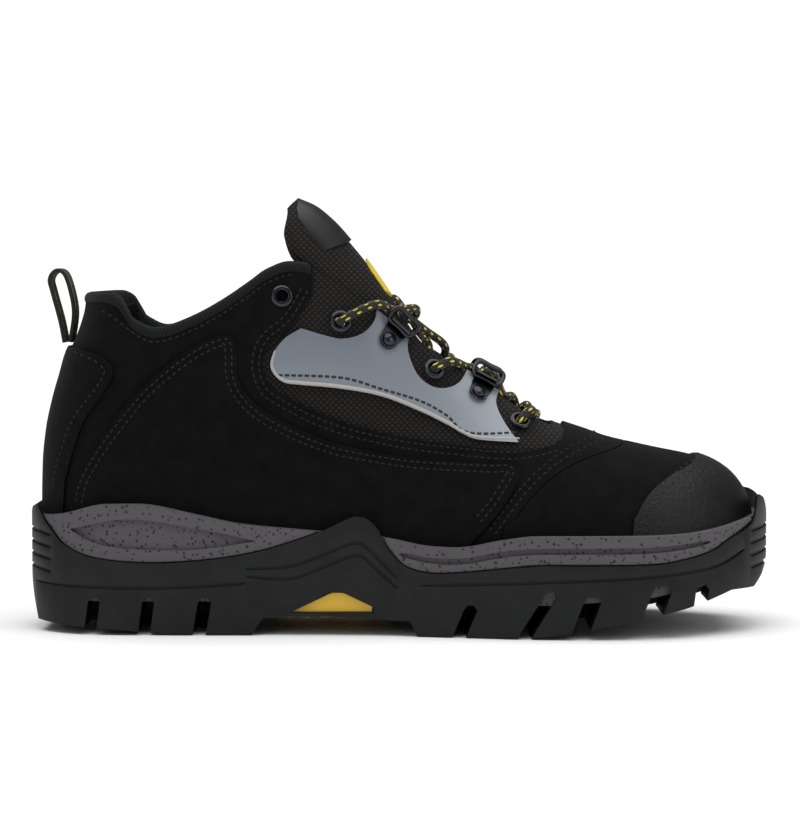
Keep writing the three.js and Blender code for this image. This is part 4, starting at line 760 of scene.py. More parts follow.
def upper_shell(name, outer, inner, rim_drop=0.0, gap_growth=0.0, bottom=0.4, lift=0.0, rows=44):
    u = stations()
    if gap_growth:
        end = 1 + (THROAT_END + gap_growth / 2 - UPPER_HEEL) / (TOE_ARC - UPPER_HEEL)
        u = np.unique(np.append(u, end))
    x = station_x(u)
    foot = feather_z(x)
    tall = np.maximum(ridge_z(x) - foot, 1e-3)
    top = top_share(u, rim_drop, gap_growth, lift)
    low = np.minimum(bottom / tall, top * 0.5)
    s = low[:, None] + (top - low)[:, None] * np.linspace(0, 1, rows + 1)[None, :]
    uu = np.broadcast_to(u[:, None], s.shape)
    layers = []
    for side in (LATERAL, MEDIAL):
        p = surface(side, uu, s)
        n = normals(side, uu, s)
        xx, zz = station_x(uu), p[..., 2]
        for height in (outer, inner):
            value = height(xx, zz) if callable(height) else np.full(xx.shape, float(height))
            layers.append(p + n * value[..., None])
    count, per = s.shape
    size = count * per
    faces = []
    closed = top >= 1 - 1e-9

    def at(layer, i, j):
        return layer * size + i * per + j

    for k in (0, 2):
        flip = k == 0
        for i in range(count - 1):
            quads = []
            for j in range(rows):
                skin = [(i, j), (i + 1, j), (i + 1, j + 1), (i, j + 1)]
                quads.append([at(k, a, b) for a, b in skin])
                quads.append([at(k + 1, a, b) for a, b in skin[::-1]])
            quads.append([at(k + 1, i, 0), at(k + 1, i + 1, 0), at(k, i + 1, 0), at(k, i, 0)])
            if not (closed[i] and closed[i + 1]):
                quads.append([at(k, i, rows), at(k, i + 1, rows), at(k + 1, i + 1, rows), at(k + 1, i, rows)])
            faces += quads if flip else [q[::-1] for q in quads]
    obj = new_object(name, np.concatenate([layer.reshape(-1, 3) for layer in layers]), faces)
    weld(obj)
    return obj


# %% [markdown]
# Each panel of leather or cloth is the layer's shell inside its own outline. Drawing every panel as
# a separate grid would need its edges matched by hand. Cutting one shell gives them all one shape.

# %% Panels and punched holes
def bore(obj, side, x, z, diameter, reach=8):
    p, n = on_upper(side, x, z)
    centre = (Vector(p) + Vector((0, BOOT_SHIFT, 0))) * MM
    bpy.ops.object.select_all(action="DESELECT")
    bpy.ops.mesh.primitive_cylinder_add(
        vertices=28, radius=diameter / 2 * MM, depth=2 * reach * MM, location=centre,
        rotation=Vector(n).to_track_quat("Z", "Y").to_euler())
    cutter = bpy.context.object
    bpy.ops.object.transform_apply(location=True, rotation=True, scale=True)
    return boolean(obj, cutter, "DIFFERENCE")


def on_boot(obj, node_names, body="boot"):
    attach(obj, body)
    if node_names:
        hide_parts(*node_names)
    return obj


def panel(name, shell, runs, material, nodes, holes=(), edge=None):
    obj = shell.copy()
    obj.data = shell.data.copy()
    bpy.context.collection.objects.link(obj)
    obj.name = name
    obj.data.materials.clear()
    obj.data.materials.append(material)
    if runs:
        side_cut(obj, runs, edge=edge or SUEDE_EDGE, per=8)
    for side in (LATERAL, MEDIAL):
        for x, z, diameter in holes:
            bore(obj, side, x, z, diameter)
    fix_outward(obj)
    smooth(obj, 40)
    on_boot(obj, nodes)
    return obj


# %% [markdown]
# The outlines are drawn as a pattern cutter would, flat and seen from the side: the suede quarter
# with its window for the mesh, the vamp, the saddle over the arch, the heel patch, the toe cap and
# the moulded plastic overlay that carries the eyelets. Both sides share them.

# %% Outlines of the panels
EYELETS = [(-48.1, 136), (-24.5, 125.6), (13.3, 105.4), (48.2, 83.8)]
ANCHORS = [((-6.4, 117.2), (-1, 124.4)), ((30.6, 94.2), (34, 100))]
EYELET_HOLES = [(x, z, 5.6) for x, z in EYELETS]  # 5.6 mm clears the barrel
BINDING = 3.3  # how far the knit binding comes down over the panels' rims
MESH_LAYER = (1.2, 0.0)  # outer and inner height of each layer over the surface
SUEDE_LAYER = (2.7, 1.5)
OVER_LAYER = (4.2, 3.0)
ON_SUEDE, ON_OVER = SUEDE_LAYER[0] + 0.05, OVER_LAYER[0] + 0.05  # where threads lie

QUARTER = [
    [(-170, 0), (38.5, 0)],
    [(38.5, 0), (40.5, 40), (46.5, 48), (52.9, 56.1), (62.4, 64.6), (75.2, 71), (88, 74.6), (98, 79)],
    [(98, 79), (98, 110)], [(98, 110), (66, 110)],
    [(66, 110), (67.5, 86), (66.5, 79.5), (62, 76.5), (51, 74.5), (40, 74.4), (24, 76.1), (2.8, 78.9),
     (-18.8, 84.1), (-34.8, 90.1), (-47.6, 96.9), (-52.8, 100.9), (-55.2, 108.9), (-52.6, 117),
     (-43.2, 125.3), (-35.5, 138)],
    [(-35.5, 138), (-35.5, 200)], [(-35.5, 200), (-170, 200)], [(-170, 200), (-170, 0)],
]
VAMP = [
    [(38.9, 0), (40.9, 40), (46.9, 47.8), (53.3, 55.8), (62.7, 64.2), (75.4, 70.6), (88.2, 74.2),
     (98.4, 78.4)],
    [(98.4, 78.4), (98.4, 110)], [(98.4, 110), (170, 110)], [(170, 110), (170, 0)], [(170, 0), (38.9, 0)],
]
SADDLE = [
    [(-134, 0), (-131.5, 54), (-129.5, 62.4), (-123.4, 74.1), (-115.8, 85.7), (-106.1, 97.7), (-94.4, 108.1),
     (-82.8, 116.1), (-73.2, 120.3), (-68, 120), (-66, 114.5), (-65.6, 104.9), (-62.5, 97.7), (-56.1, 91.3),
     (-45.3, 84.9), (-29.3, 78), (-13.2, 74), (6.8, 70.6), (34.9, 68.8), (43.5, 68.6), (47.6, 66),
     (46.8, 61.2),
     (40.1, 50.3), (33.7, 43.1), (26, 32), (20, 0)],
    [(20, 0), (-134, 0)],
]
HEEL_PATCH = [
    [(-170, 115.8), (-135, 115.6), (-127.6, 114.3), (-120.3, 111.9), (-116, 107.6), (-116.4, 103.3),
     (-120.3, 96.8), (-127.8, 86.2), (-132, 76), (-135.4, 64.9), (-137, 54), (-140, 0)],
    [(-140, 0), (-170, 0)], [(-170, 0), (-170, 115.8)],
]
TOE_CAP = [
    [(92, 0), (93.2, 42), (95.2, 49.4), (100.4, 57.1), (109.2, 63.6), (119, 67.8), (127.5, 73.5)],
    [(127.5, 73.5), (129, 110)], [(129, 110), (170, 110)], [(170, 110), (170, 0)], [(170, 0), (92, 0)],
]
MOULDED_SIDE = [
    [(-39.9, 123.4), (-29.2, 120.2), (-22.8, 119.2), (-15.4, 121.2), (-10.4, 126.5), (-9, 135)],
    [(-9, 135), (5, 128)],
    [(5, 128), (3.6, 119.6), (3.4, 113.6), (6.8, 105), (12.4, 100), (18.8, 99), (24.6, 101.6), (28.4, 108)],
    [(28.4, 108), (42, 100)],
    [(42, 100), (39.2, 93.4), (42.1, 85.8), (48, 77.4)],
    [(48, 77.4), (32.5, 78.4), (26.1, 80.4), (18.9, 84.6), (8, 90), (-8, 96.4), (-24.1, 99.8), (-40.1, 101.4),
     (-46.7, 102.3), (-50.5, 105.2), (-52, 109), (-50.6, 114.2), (-46.2, 119.6), (-39.9, 123.4)],
]


# %% [markdown]
# Three shells are made at three heights: cloth on the lining, suede on the cloth, and the saddle,
# heel patch and toe cap over that suede. The gaps between layers are small, so the edges cast thin
# shadows, as sewn panels do.

# %% Panels
layer_mesh = upper_shell("layer_mesh", *MESH_LAYER, rim_drop=BINDING + 0.2)
layer_suede = upper_shell("layer_suede", *SUEDE_LAYER, rim_drop=BINDING)
layer_over = upper_shell("layer_over", *OVER_LAYER, rim_drop=BINDING)

TEXTILE = panel("textile_upper", layer_mesh, None, MESH_CLOTH, ["textile_lateral", "textile_medial"],
                holes=EYELET_HOLES)
QUARTERS = panel("suede_quarters", layer_suede, QUARTER, SUEDE,
                 ["suede_quarter_lateral", "suede_quarter_medial"], holes=EYELET_HOLES[:1])
VAMP_PIECE = panel("suede_vamp_piece", layer_suede, VAMP, SUEDE, ["suede_vamp"])
SADDLES = panel("suede_saddles", layer_over, SADDLE, SUEDE, ["saddle_lateral", "saddle_medial"])
HEEL = panel("suede_heel_patch", layer_over, HEEL_PATCH, SUEDE, ["heel_patch"])
TOE = panel("leather_toe_cap", layer_over, TOE_CAP, LEATHER, ["toe_cap"])
# The overlays' cut edges take the pale rim colour, a painted highlight along the edge.
OVERLAYS = panel("moulded_overlays", layer_suede, MOULDED_SIDE, MOULDED,
                 ["moulded_overlay_lateral", "moulded_overlay_medial"],
                 holes=EYELET_HOLES[1:], edge=OVERLAY_RIM_HIGHLIGHT)
for shell in (layer_mesh, layer_suede, layer_over):
    bpy.data.objects.remove(shell, do_unlink=True)
for obj in (TEXTILE, QUARTERS, VAMP_PIECE, SADDLES, HEEL, TOE, OVERLAYS):
    print(obj.name, len(obj.data.polygons), "faces")


# %% [markdown]
# Seams are lock-stitched in two rows just inside each edge. One stitch is a short thread that
# dips into the leather at both ends; the rows copy it at a real stitch spacing of about 3 mm.

# %% Stitch rows
def offset_line(points, distance):
    line = curve_through(points, 8) if len(points) > 2 else [Vector(p) for p in points]
    out = []
    for i, p in enumerate(line):
        t = (line[min(i + 1, len(line) - 1)] - line[max(i - 1, 0)]).normalized()
        out.append(Vector((p.x - t.y * distance, p.y + t.x * distance)))
    return out


def spaced(points, step):
    walked, out = 0.0, []
    for a, b in zip(points, points[1:]):
        length = (b - a).length
        while walked <= length and length > 1e-9:
            out.append((a + (b - a) * (walked / length), (b - a).normalized()))
            walked += step
        walked -= length
    return out


STITCH = [(-0.5, 0, -0.25), (-0.28, 0.5, 0.1), (0.28, 0.5, 0.1), (0.5, 0, -0.25), (0.28, -0.5, 0.1),
          (-0.28, -0.5, 0.1), (0, 0, 0.42), (0, 0, -0.4)]
STITCH_FACES = [(0, 5, 6), (5, 4, 6), (4, 3, 6), (3, 2, 6), (2, 1, 6), (1, 0, 6),
                (5, 0, 7), (4, 5, 7), (3, 4, 7), (2, 3, 7), (1, 2, 7), (0, 1, 7)]


def stitch_rows(name, lines, height, thread=THREAD, length=2.0, width=0.65, step=2.7):
    verts, faces = [], []
    for line in lines:
        for p, t in spaced(line, step):
            for side in (LATERAL, MEDIAL):
                a, n = on_upper(side, p.x, p.y, height)
                b, _ = on_upper(side, p.x + t.x, p.y + t.y, height)
                if not np.isfinite(a).all() or not np.isfinite(b).all() or abs(a[1]) < 1.5:
                    continue
                along = (b - a) / max(np.linalg.norm(b - a), 1e-9)
                across = np.cross(n, along)
                start = len(verts)
                verts += [a + along * v[0] * length + across * v[1] * width + n * v[2] * 0.9 for v in STITCH]
                faces += [[start + i for i in f] for f in STITCH_FACES]
    obj = new_object(name, verts, faces)
    fix_outward(obj)
    obj.data.materials.append(thread)
    on_boot(obj, [])
    return obj


FRONT_SEAM = QUARTER[1][:-1]
WINDOW = [p for p in QUARTER[4] if p[0] < 66]
SADDLE_EDGE = SADDLE[0][1:-2]
HEEL_EDGE = HEEL_PATCH[0][2:-1]
TOE_EDGE = TOE_CAP[0][1:-1]
rows = []
for distance in (2.0, 4.6):
    rows += [offset_line(FRONT_SEAM[1:], distance), offset_line(WINDOW, distance)]
STITCHED_QUARTER = stitch_rows("stitching_quarter", rows, ON_SUEDE)
rows = [offset_line(SADDLE_EDGE, -d) for d in (2.0, 4.4)]
rows += [offset_line(TOE_EDGE, -d) for d in (2.0, 4.4)]
rows += [offset_line(HEEL_EDGE, -2.0)]
STITCHED_SADDLE = stitch_rows("stitching_panels", rows, ON_OVER)
rim_row = [Vector((x, float(rim_line(x)) - BINDING - 2.4)) for x in np.arange(-118, -42, 3)]
STITCHED_RIM = stitch_rows("stitching_rim", [rim_row], ON_SUEDE)
OVERLAY_SEAM = [(-48.5, 104.5), (-24, 103.3), (-8, 98.4), (8, 93.2), (18.9, 87.2), (27.3, 80.4), (46.6, 79.6)]
BLACK_THREAD = new_material("black_bonded_thread", "#08080a", 0.6)[0]
overlay_row = offset_line(OVERLAY_SEAM, 0)
STITCHED_OVERLAY = stitch_rows("stitching_overlay", [overlay_row], ON_SUEDE, BLACK_THREAD, 2.7, 0.95)
ROWS = (STITCHED_QUARTER, STITCHED_SADDLE, STITCHED_RIM, STITCHED_OVERLAY)
print("stitches", sum(len(obj.data.polygons) // len(STITCH_FACES) for obj in ROWS))


# %% [markdown]
# The collar is a padded roll: knit fabric wrapped over foam. Its section is drawn once as distances
# over the surface and below the rim, and is carried round the whole collar, so the roll is even.

# %% Collar
COLLAR_SECTION = [
    (2.9, 4.2), (3.4, 2.9), (3.3, 1.5), (2.5, 0.3), (1.0, -0.4), (-0.8, -0.5), (-2.5, -0.1), (-3.6, 1.2),
    (-4.4, 3.2), (-5.4, 6), (-6.1, 9), (-5.9, 14), (-4.9, 20), (-3.4, 26), (-1.9, 31), (-1.0, 33.5),
    (-0.6, 33), (-0.6, 24), (-0.6, 14), (-0.6, 6), (0.2, 4.2),
]


def padding_share(x):
    return 1 - 0.8 * fade(-56, -38, x)


def make_collar():
    x = np.concatenate([station_x(np.linspace(0, 1, 26)), np.arange(UPPER_HEEL + 1.4, -36, 1.4)])
    rings = []
    for side, order in ((LATERAL, slice(None, None, -1)), (MEDIAL, slice(1, None))):
        ring = []
        for value in x:
            u = station_of_nominal(value)
            share = padding_share(value)
            section = []
            for offset, drop in COLLAR_SECTION:
                offset = offset if offset > -0.7 else -0.6 + (offset + 0.6) * share
                foot = float(feather_z(value))
                s = (float(rim_line(value)) - drop - foot) / (float(ridge_z(value)) - foot)
                section.append(surface(side, u, s) + normals(side, u, s) * offset)
            ring.append(np.array(section))
        rings += ring[order]
    return swept(rings, "collar_roll")


def station_of_nominal(x):
    if x < UPPER_HEEL:
        return math.acos(min(1, (UPPER_HEEL - x) / UPPER_REACH) ** (HEEL_POWER / 2)) * 2 / math.pi
    return 1 + (x - UPPER_HEEL) / (TOE_ARC - UPPER_HEEL)


def swept(rings, name, closed=False, uvs=None):
    count, per = len(rings), len(rings[0])
    faces = []
    for i in range(count if closed else count - 1):
        for j in range(per):
            a, b = i * per, (i + 1) % count * per
            faces.append([a + j, a + (j + 1) % per, b + (j + 1) % per, b + j])
    if not closed:
        faces += [list(range(per))[::-1], [(count - 1) * per + j for j in range(per)]]
    obj = new_object(name, np.concatenate(rings), faces, uvs)
    fix_outward(obj)
    return obj


COLLAR = make_collar()
COLLAR.data.materials.append(COLLAR_KNIT)
smooth(COLLAR, 50)
on_boot(COLLAR, ["collar_padding"])
print("collar", len(COLLAR.data.polygons), "faces")


# %% [markdown]
# The lining is a thin sleeve that covers the inside of the walls and the back of the padding. It is
# one more shell of the upper, and it goes in by the padding's own depth.

# %% Lining
def padding_depth(x, z):
    below = rim_line(x) - z
    roll = 1 - 0.45 * (1 - fade(0, 4, below))
    return 5.5 * (1 - fade(-68, -46, x)) * (1 - fade(8, 34, below)) * roll


LINING = upper_shell("inner_sleeve", lambda x, z: -2.9 - padding_depth(x, z) * 1.05,
                     lambda x, z: -3.7 - padding_depth(x, z) * 1.05, rim_drop=4.5, gap_growth=26, bottom=2.5)
LINING.data.materials.append(LINING_KNIT)
print("lining", len(LINING.data.polygons), "faces")
smooth(LINING, 50)
on_boot(LINING, ["inner_lining"])


# %% [markdown]
# The footbed is a moulded foam insole with a raised rim that lies loose in the boot. Its section is
# a flattened loop that is swept from heel to toe at the width of the last.

# %% Footbed
def sole_plate(name, inset, low, high, start, end):
    share = (1 - np.cos(np.linspace(0, np.pi, 70))) / 2
    x = start + (end - start) * share
    heel = end_closure(-x, -UPPER_HEEL, -start, HEEL_POWER)
    toe = end_closure(x, TOE_ARC, end, TOE_POWER)
    rings = []
    for xi, h, t in zip(x, heel, toe):
        left = max(0.4, float(half_width[LATERAL](xi)) - UPPER_INSET - inset) * max(h * t, 0.012)
        right = max(0.4, float(half_width[MEDIAL](xi)) - UPPER_INSET - inset) * max(h * t, 0.012)
        base = float(feather_z(xi))
        centre = float(swing(xi))
        ring = []
        for k in range(24):
            angle = 2 * math.pi * k / 24
            y = math.copysign(abs(math.cos(angle)) ** 0.35, math.cos(angle))
            z = math.copysign(abs(math.sin(angle)) ** 0.6, math.sin(angle))
            width = right if y > 0 else left
            cup = 1.6 * abs(y) ** 4 if z > 0 else 0
            ring.append((xi, centre + y * width, base + (low + high) / 2 + z * (high - low) / 2 + cup))
        rings.append(np.array(ring))
    return swept(rings, name)


FOOTBED = sole_plate("cushioned_footbed", 6.6, 0.6, 4.2, -135.5, 134.3)
FOOTBED.data.materials.append(LINING_KNIT)
print("footbed", round(FOOTBED.dimensions.x / MM), "mm long")
smooth(FOOTBED, 50)
on_boot(FOOTBED, ["footbed"], "footbed_body")


# %% [markdown]
# The tongue is a padded strip of the same open knit. It comes out from under the vamp, follows the
# ridge of the foot, thickens towards its top and curls round the ankle. A sweep along its middle
# line gives the thickness and the curl, and it is cut back where the walls of the upper are.

# %% Tongue
TONGUE_LINE = [(65, 77), (55, 82), (41, 89.5), (30, 98.5), (17, 108.8), (8, 118), (2, 126.5), (-3, 134),
               (-8, 141.5), (-14, 150), (-21, 158.5), (-28, 166.2), (-36, 172.6), (-43, 175.6)]
INDEX = range(len(TONGUE_LINE))
tongue_x = smooth_line(list(zip(INDEX, [p[0] for p in TONGUE_LINE])))
tongue_z = smooth_line(list(zip(INDEX, [p[1] for p in TONGUE_LINE])))
tongue_half = smooth_line(list(zip(INDEX, [9, 13, 16, 18, 19, 19.5, 20, 20, 20, 20.5, 21.5, 21.5, 19, 10])))
tongue_body = smooth_line(list(zip(INDEX, [2.4, 2.6, 3, 3, 3.4, 4, 4.6, 5.2, 6.6, 8.6, 10, 10, 8, 4.5])))
tongue_ridge = smooth_line(sorted(TONGUE_LINE))
TONGUE_BACK = np.array([-0.68, 0, -0.73])


def tongue_point(i, across, depth):
    y = across * float(tongue_half(i))
    back = TONGUE_BACK * (0.011 * abs(y) ** 2.4 + depth)
    return np.array([float(tongue_x(i)), y, float(tongue_z(i))]) + back


def make_tongue():
    # The front face is quilted into soft pads between the strip and the piping.
    rings = []
    for i in np.linspace(0, 13, 105):
        body = float(tongue_body(i))
        across = np.linspace(-1, 1, 31)
        crown = [0.35 * math.sin(math.pi * min(1, abs(a) * 1.6)) * fade(2.5, 5, i) for a in across]
        front = [tongue_point(i, a, 0.1 - c) for a, c in zip(across, crown)]
        back = [tongue_point(i, a, body * (1 - 0.55 * abs(a) ** 3)) for a in across[::-1]]
        rings.append(np.array(front + back))
    return swept(rings, "padded_tongue")


TONGUE = make_tongue()
room = upper_shell("room", 8, -2.4, rim_drop=-6, bottom=2)
boolean(TONGUE, room, "DIFFERENCE")
TONGUE.data.materials.clear()
TONGUE.data.materials.append(MESH_CLOTH)
smooth(TONGUE, 50)
on_boot(TONGUE, ["tongue"], "tongue_body")


# %% [markdown]
# A pressed tongue tips back a little about its sewn base. The lining is cut back by the tongue's
# own shape at a few steps of that swing, made a little larger, so that nothing tears or clips.

# %% Room for the swing of the tongue
TONGUE_HINGE = Vector((62, BOOT_SHIFT, 78)) * MM


def cut_tongue_room(obj, clearance=0.4):
    # The sleeve leaves room for the tongue through its whole press of 3 degrees.
    for degrees in (1, 2, 3.1):
        room_piece = TONGUE.copy()
        room_piece.data = TONGUE.data.copy()
        bpy.context.collection.objects.link(room_piece)
        swing_back = Matrix.Rotation(math.radians(-degrees), 3, "Y")
        for vertex in room_piece.data.vertices:
            swollen = vertex.co + vertex.normal * clearance * MM
            vertex.co = swing_back @ (swollen - TONGUE_HINGE) + TONGUE_HINGE
        boolean(obj, room_piece, "DIFFERENCE")


cut_tongue_room(LINING)
print("lining after the cut", len(LINING.data.polygons), "faces")


# %% [markdown]
# A smooth patch is pressed on the top of the tongue and a yellow trim is sewn below it. Both are
# thin pieces laid on the tongue's own front, so they follow its curve.

# %% Patch and strip on the tongue
def tongue_patch(name, start, end, share, lift, thick, material, node):
    rings = []
    for i in np.linspace(start, end, 40):
        ease = min(1, (min(i - start, end - i) + 0.02) * 2.2) ** 0.35
        across = np.linspace(-share * ease, share * ease, 19)
        front = [tongue_point(i, a, -lift - thick * (1 - abs(a / share) ** 6 * 0.6)) for a in across]
        back = [tongue_point(i, a, -lift) for a in across[::-1]]
        rings.append(np.array(front + back))
    obj = swept(rings, name)
    obj.data.materials.append(material)
    smooth(obj, 40)
    on_boot(obj, [node], "tongue_body")
    return obj


PATCH = tongue_patch("tongue_top_patch", 10.0, 13.05, 0.8, 0.2, 1.2, LABEL, "tongue_label")
STRIP = tongue_patch("tongue_yellow_strip", 7.2, 9.1, 0.3, 0.4, 1.0, YELLOW, "tongue_strip")
for obj in (TONGUE, PATCH, STRIP):
    print(obj.name, len(obj.data.polygons), "faces")


# %% [markdown]
# The lace runs through eyelets and under wire rings that plates hold by their base. Rings and
# eyelets are shiny and small, so each gets a true round section.

# %% Tubes and smooth paths
def tube(name, path, radius, sides=12, closed=False):
    path = np.asarray(path, float)
    count = len(path)
    ahead = np.roll(path, -1, 0) - np.roll(path, 1, 0)
    if not closed:
        ahead[0], ahead[-1] = path[1] - path[0], path[-1] - path[-2]
    ahead /= np.linalg.norm(ahead, axis=1, keepdims=True)
    side = np.cross(ahead[0], (0.3, 0.2, 0.93))
    side /= np.linalg.norm(side)
    rings, uvs, walked = [], [], 0.0
    for i in range(count):
        side = side - ahead[i] * side.dot(ahead[i])
        side /= np.linalg.norm(side)
        other = np.cross(ahead[i], side)
        angles = [2 * math.pi * k / sides for k in range(sides)]
        size = radius(i / (count - 1)) if callable(radius) else radius
        rings.append(np.array([path[i] + (side * math.cos(a) + other * math.sin(a)) * size for a in angles]))
        walked += np.linalg.norm(path[i] - path[i - 1]) if i else 0
        uvs += [(walked, k / sides) for k in range(sides)]
    return swept(rings, name, closed, uvs)


def catmull(points, per, closed=False):
    pts = [np.asarray(p, float) for p in points]
    n = len(pts)
    out = []
    for i in range(n if closed else n - 1):
        if closed:
            a, b, c, d = pts[i - 1], pts[i], pts[(i + 1) % n], pts[(i + 2) % n]
        else:
            a, b, c, d = pts[max(i - 1, 0)], pts[i], pts[i + 1], pts[min(i + 2, n - 1)]
        t1 = max(np.linalg.norm(b - a), 1e-3) ** 0.5
        t2 = t1 + max(np.linalg.norm(c - b), 1e-3) ** 0.5
        t3 = t2 + max(np.linalg.norm(d - c), 1e-3) ** 0.5
        for k in range(per):
            t = t1 + (t2 - t1) * k / per
            a1 = a * (t1 - t) / t1 + b * t / t1
            a2 = b * (t2 - t) / (t2 - t1) + c * (t - t1) / (t2 - t1)
            a3 = c * (t3 - t) / (t3 - t2) + d * (t - t2) / (t3 - t2)
            b1 = a1 * (t2 - t) / t2 + a2 * t / t2
            b2 = a2 * (t3 - t) / (t3 - t1) + a3 * (t - t1) / (t3 - t1)
            out.append(b1 * (t2 - t) / (t2 - t1) + b2 * (t - t1) / (t2 - t1))
    if not closed:
        out.append(pts[-1])
    return out


# %% [markdown]
# An eyelet is a turned and clinched metal ring: a barrel through the layers with a rolled flange.
# A rivet is a domed head on a stem. Both are profiles turned about the hole's own axis.

# %% Turned parts
def turned(name, place, axis, profile, sides=28):
    axis = Vector(axis).normalized()
    across = axis.orthogonal().normalized()
    other = axis.cross(across)
    rings = []
    for k in range(sides):
        a = 2 * math.pi * k / sides
        out = across * math.cos(a) + other * math.sin(a)
        rings.append(np.array([Vector(place) + out * r + axis * h for r, h in profile]))
    obj = swept(rings, name, closed=True)
    weld(obj, 1e-6)
    obj.data.materials.append(GUNMETAL)
    smooth(obj, 40)
    return obj


def side_name(side):
    return "lateral" if side == LATERAL else "medial"


EYELET_WALL, BACK_FACE = 0.45, -1.4  # barrel wall, and where the cloth's inner side is clinched
for side in (LATERAL, MEDIAL):
    for number, (x, z) in enumerate(EYELETS, 1):
        # The top one is smaller and goes through suede, the others go through the moulded overlay.
        wall, r = (2.8, 2.3) if number == 1 else (2.9, 2.5)
        place, out = on_upper(side, x, z)
        barrel = r + EYELET_WALL
        profile = [(r, BACK_FACE - 0.8), (4.0, BACK_FACE - 0.6), (4.0, BACK_FACE), (barrel, BACK_FACE + 0.2),
                   (barrel, wall), (4.2, wall), (4.4, wall + 0.35), (3.9, wall + 0.85), (3.2, wall + 1.0),
                   (r + 0.25, wall + 0.8), (r, wall + 0.3)]
        eyelet = turned("eyelet_%s_%d" % (side_name(side), number), place, out, profile)
        on_boot(eyelet, ["eyelet_%d_%s" % (number, side_name(side))])


# %% [markdown]
# Each wire ring is bent from round steel and held in the fold of a riveted plate, which is a piece
# of the frame. The ring is its own body, because it can lift, and the lace runs under its far bar.

# %% Wire rings and rivets
def anchor_frame(side, rivet, bar):
    seat, n = on_upper(side, *rivet)
    edge, _ = on_upper(side, *bar)
    length = np.linalg.norm(edge - seat)
    up = (edge - seat) / length
    out = n - up * n.dot(up)
    out /= np.linalg.norm(out)
    along = np.cross(up, out)
    return seat, up, out, along / np.linalg.norm(along), length


RING_WIRE, RING_WIDTH, RING_REACH, FOLD_SETBACK, BAR_LIFT = 2.0, 14.2, 6.4, 4.6, 8.6
PLATE_LIFT, PLATE_THICK = 3.3, 0.9
FOLD_RADIUS = RING_WIRE / 2 + 0.3
WIRE_LIFT = PLATE_LIFT + PLATE_THICK + FOLD_RADIUS
for side in (LATERAL, MEDIAL):
    for number, (rivet, bar) in enumerate(ANCHORS, 1):
        seat, up, out, along, length = anchor_frame(side, rivet, bar)
        tag = "%d_%s" % (number, side_name(side))
        lean = math.asin((BAR_LIFT - WIRE_LIFT) / RING_REACH)
        rise = up * math.cos(lean) + out * math.sin(lean)
        base = seat + up * (length - FOLD_SETBACK) + out * WIRE_LIFT
        half = RING_WIDTH / 2 - RING_WIRE / 2
        corners = [(-0.8, 0), (0, 0), (0.8, 0), (1, 0.2), (1, 0.8), (0.8, 1), (0, 1), (-0.8, 1), (-1, 0.8),
                   (-1, 0.2)]
        path = catmull([base + along * half * a + rise * RING_REACH * b for a, b in corners], 8, True)
        ring = tube("lace_ring_" + tag, path, RING_WIRE / 2, 12, True)
        ring.data.materials.append(GUNMETAL)
        smooth(ring, 60)
        on_boot(ring, ["anchor_ring_" + tag], "ring_" + tag)
        top = PLATE_LIFT + PLATE_THICK + 0.3
        profile = [(0.01, -2), (1.1, -2), (1.1, top), (3.0, top), (2.9, top + 0.5), (2.2, top + 1.1),
                   (1.1, top + 1.45), (0.01, top + 1.5)]
        head = turned("domed_rivet_" + tag, seat, out, profile)
        on_boot(head, ["rivet_" + tag])
print("eyelets", 2 * len(EYELETS), "rings", 2 * len(ANCHORS), "wire", RING_WIRE, "mm thick")


# %% [markdown]
# A round boot lace is a braid over a core. Its pattern follows the lace itself, so its material
# reads the lace's own map: millimetres along it, and turns around it. Yellow tracer yarns show as
# short flecks.

# %% Material of the lace
def make_lace_material():
    mat, tree, shader = new_material("round_braid", "#131315", 0.8, Sheen_Weight=0.1)
    place = add(tree, "UVMap", uv_map="surface").outputs["UV"]
    parts = add(tree, "SeparateXYZ", {"Vector": place})

    def wave(per_mm, turns):
        a = add(tree, "Math", {0: parts.outputs["X"]}, operation="MULTIPLY", inputs={1: per_mm * 2 * math.pi})
        b = add(tree, "Math", {0: parts.outputs["Y"]}, operation="MULTIPLY", inputs={1: turns * 2 * math.pi})
        c = add(tree, "Math", {0: a.outputs[0], 1: b.outputs[0]}, operation="ADD")
        return add(tree, "Math", {0: c.outputs[0]}, operation="SINE").outputs[0]

    braid = add(tree, "Math", {0: wave(0.55, 4), 1: wave(0.55, -4)}, operation="MAXIMUM").outputs[0]
    fleck = add(tree, "Math", {0: wave(0.1, 2), 1: wave(0.1, -3)}, operation="MULTIPLY").outputs[0]
    two_tone(tree, shader, fleck, "#0e0e0f", "#e0cb36", 0.60, 0.66)
    bumped(tree, shader, braid, 0.7, 0.35)
    return mat


LACE_BRAID = make_lace_material()


# %% [markdown]
# The lace is threaded point by point: out of an eyelet, over the tongue, under a ring, and
# back. Where two strands cross, one lies high and the other low. Its ends are tucked inside.

# %% Route of the lace
HIGH, LOW = 8.2, 2.9


def hand(side):
    return lambda x, z, offset: on_upper(side, x, z, offset)[0]


outer_side, inner_side = hand(LATERAL), hand(MEDIAL)


def over_tongue(x, y, height):
    return np.array([x, y, float(tongue_ridge(x)) + height])


def through_eyelet(place, index, inward):
    x, z = EYELETS[index]
    stops = [place(x, z, offset) for offset in (-3.9, -1.4, 1.2, 3.7)]
    return stops[::-1] if inward else stops


def under_bar(place, index, upward):
    x, z = ANCHORS[index][1]
    stops = [place(x + 2.2, z - 0.6, 5.3), place(x + 0.1, z + 0.1, 5.4), place(x - 1.3, z + 2.2, 5.3)]
    return stops if upward else stops[::-1]


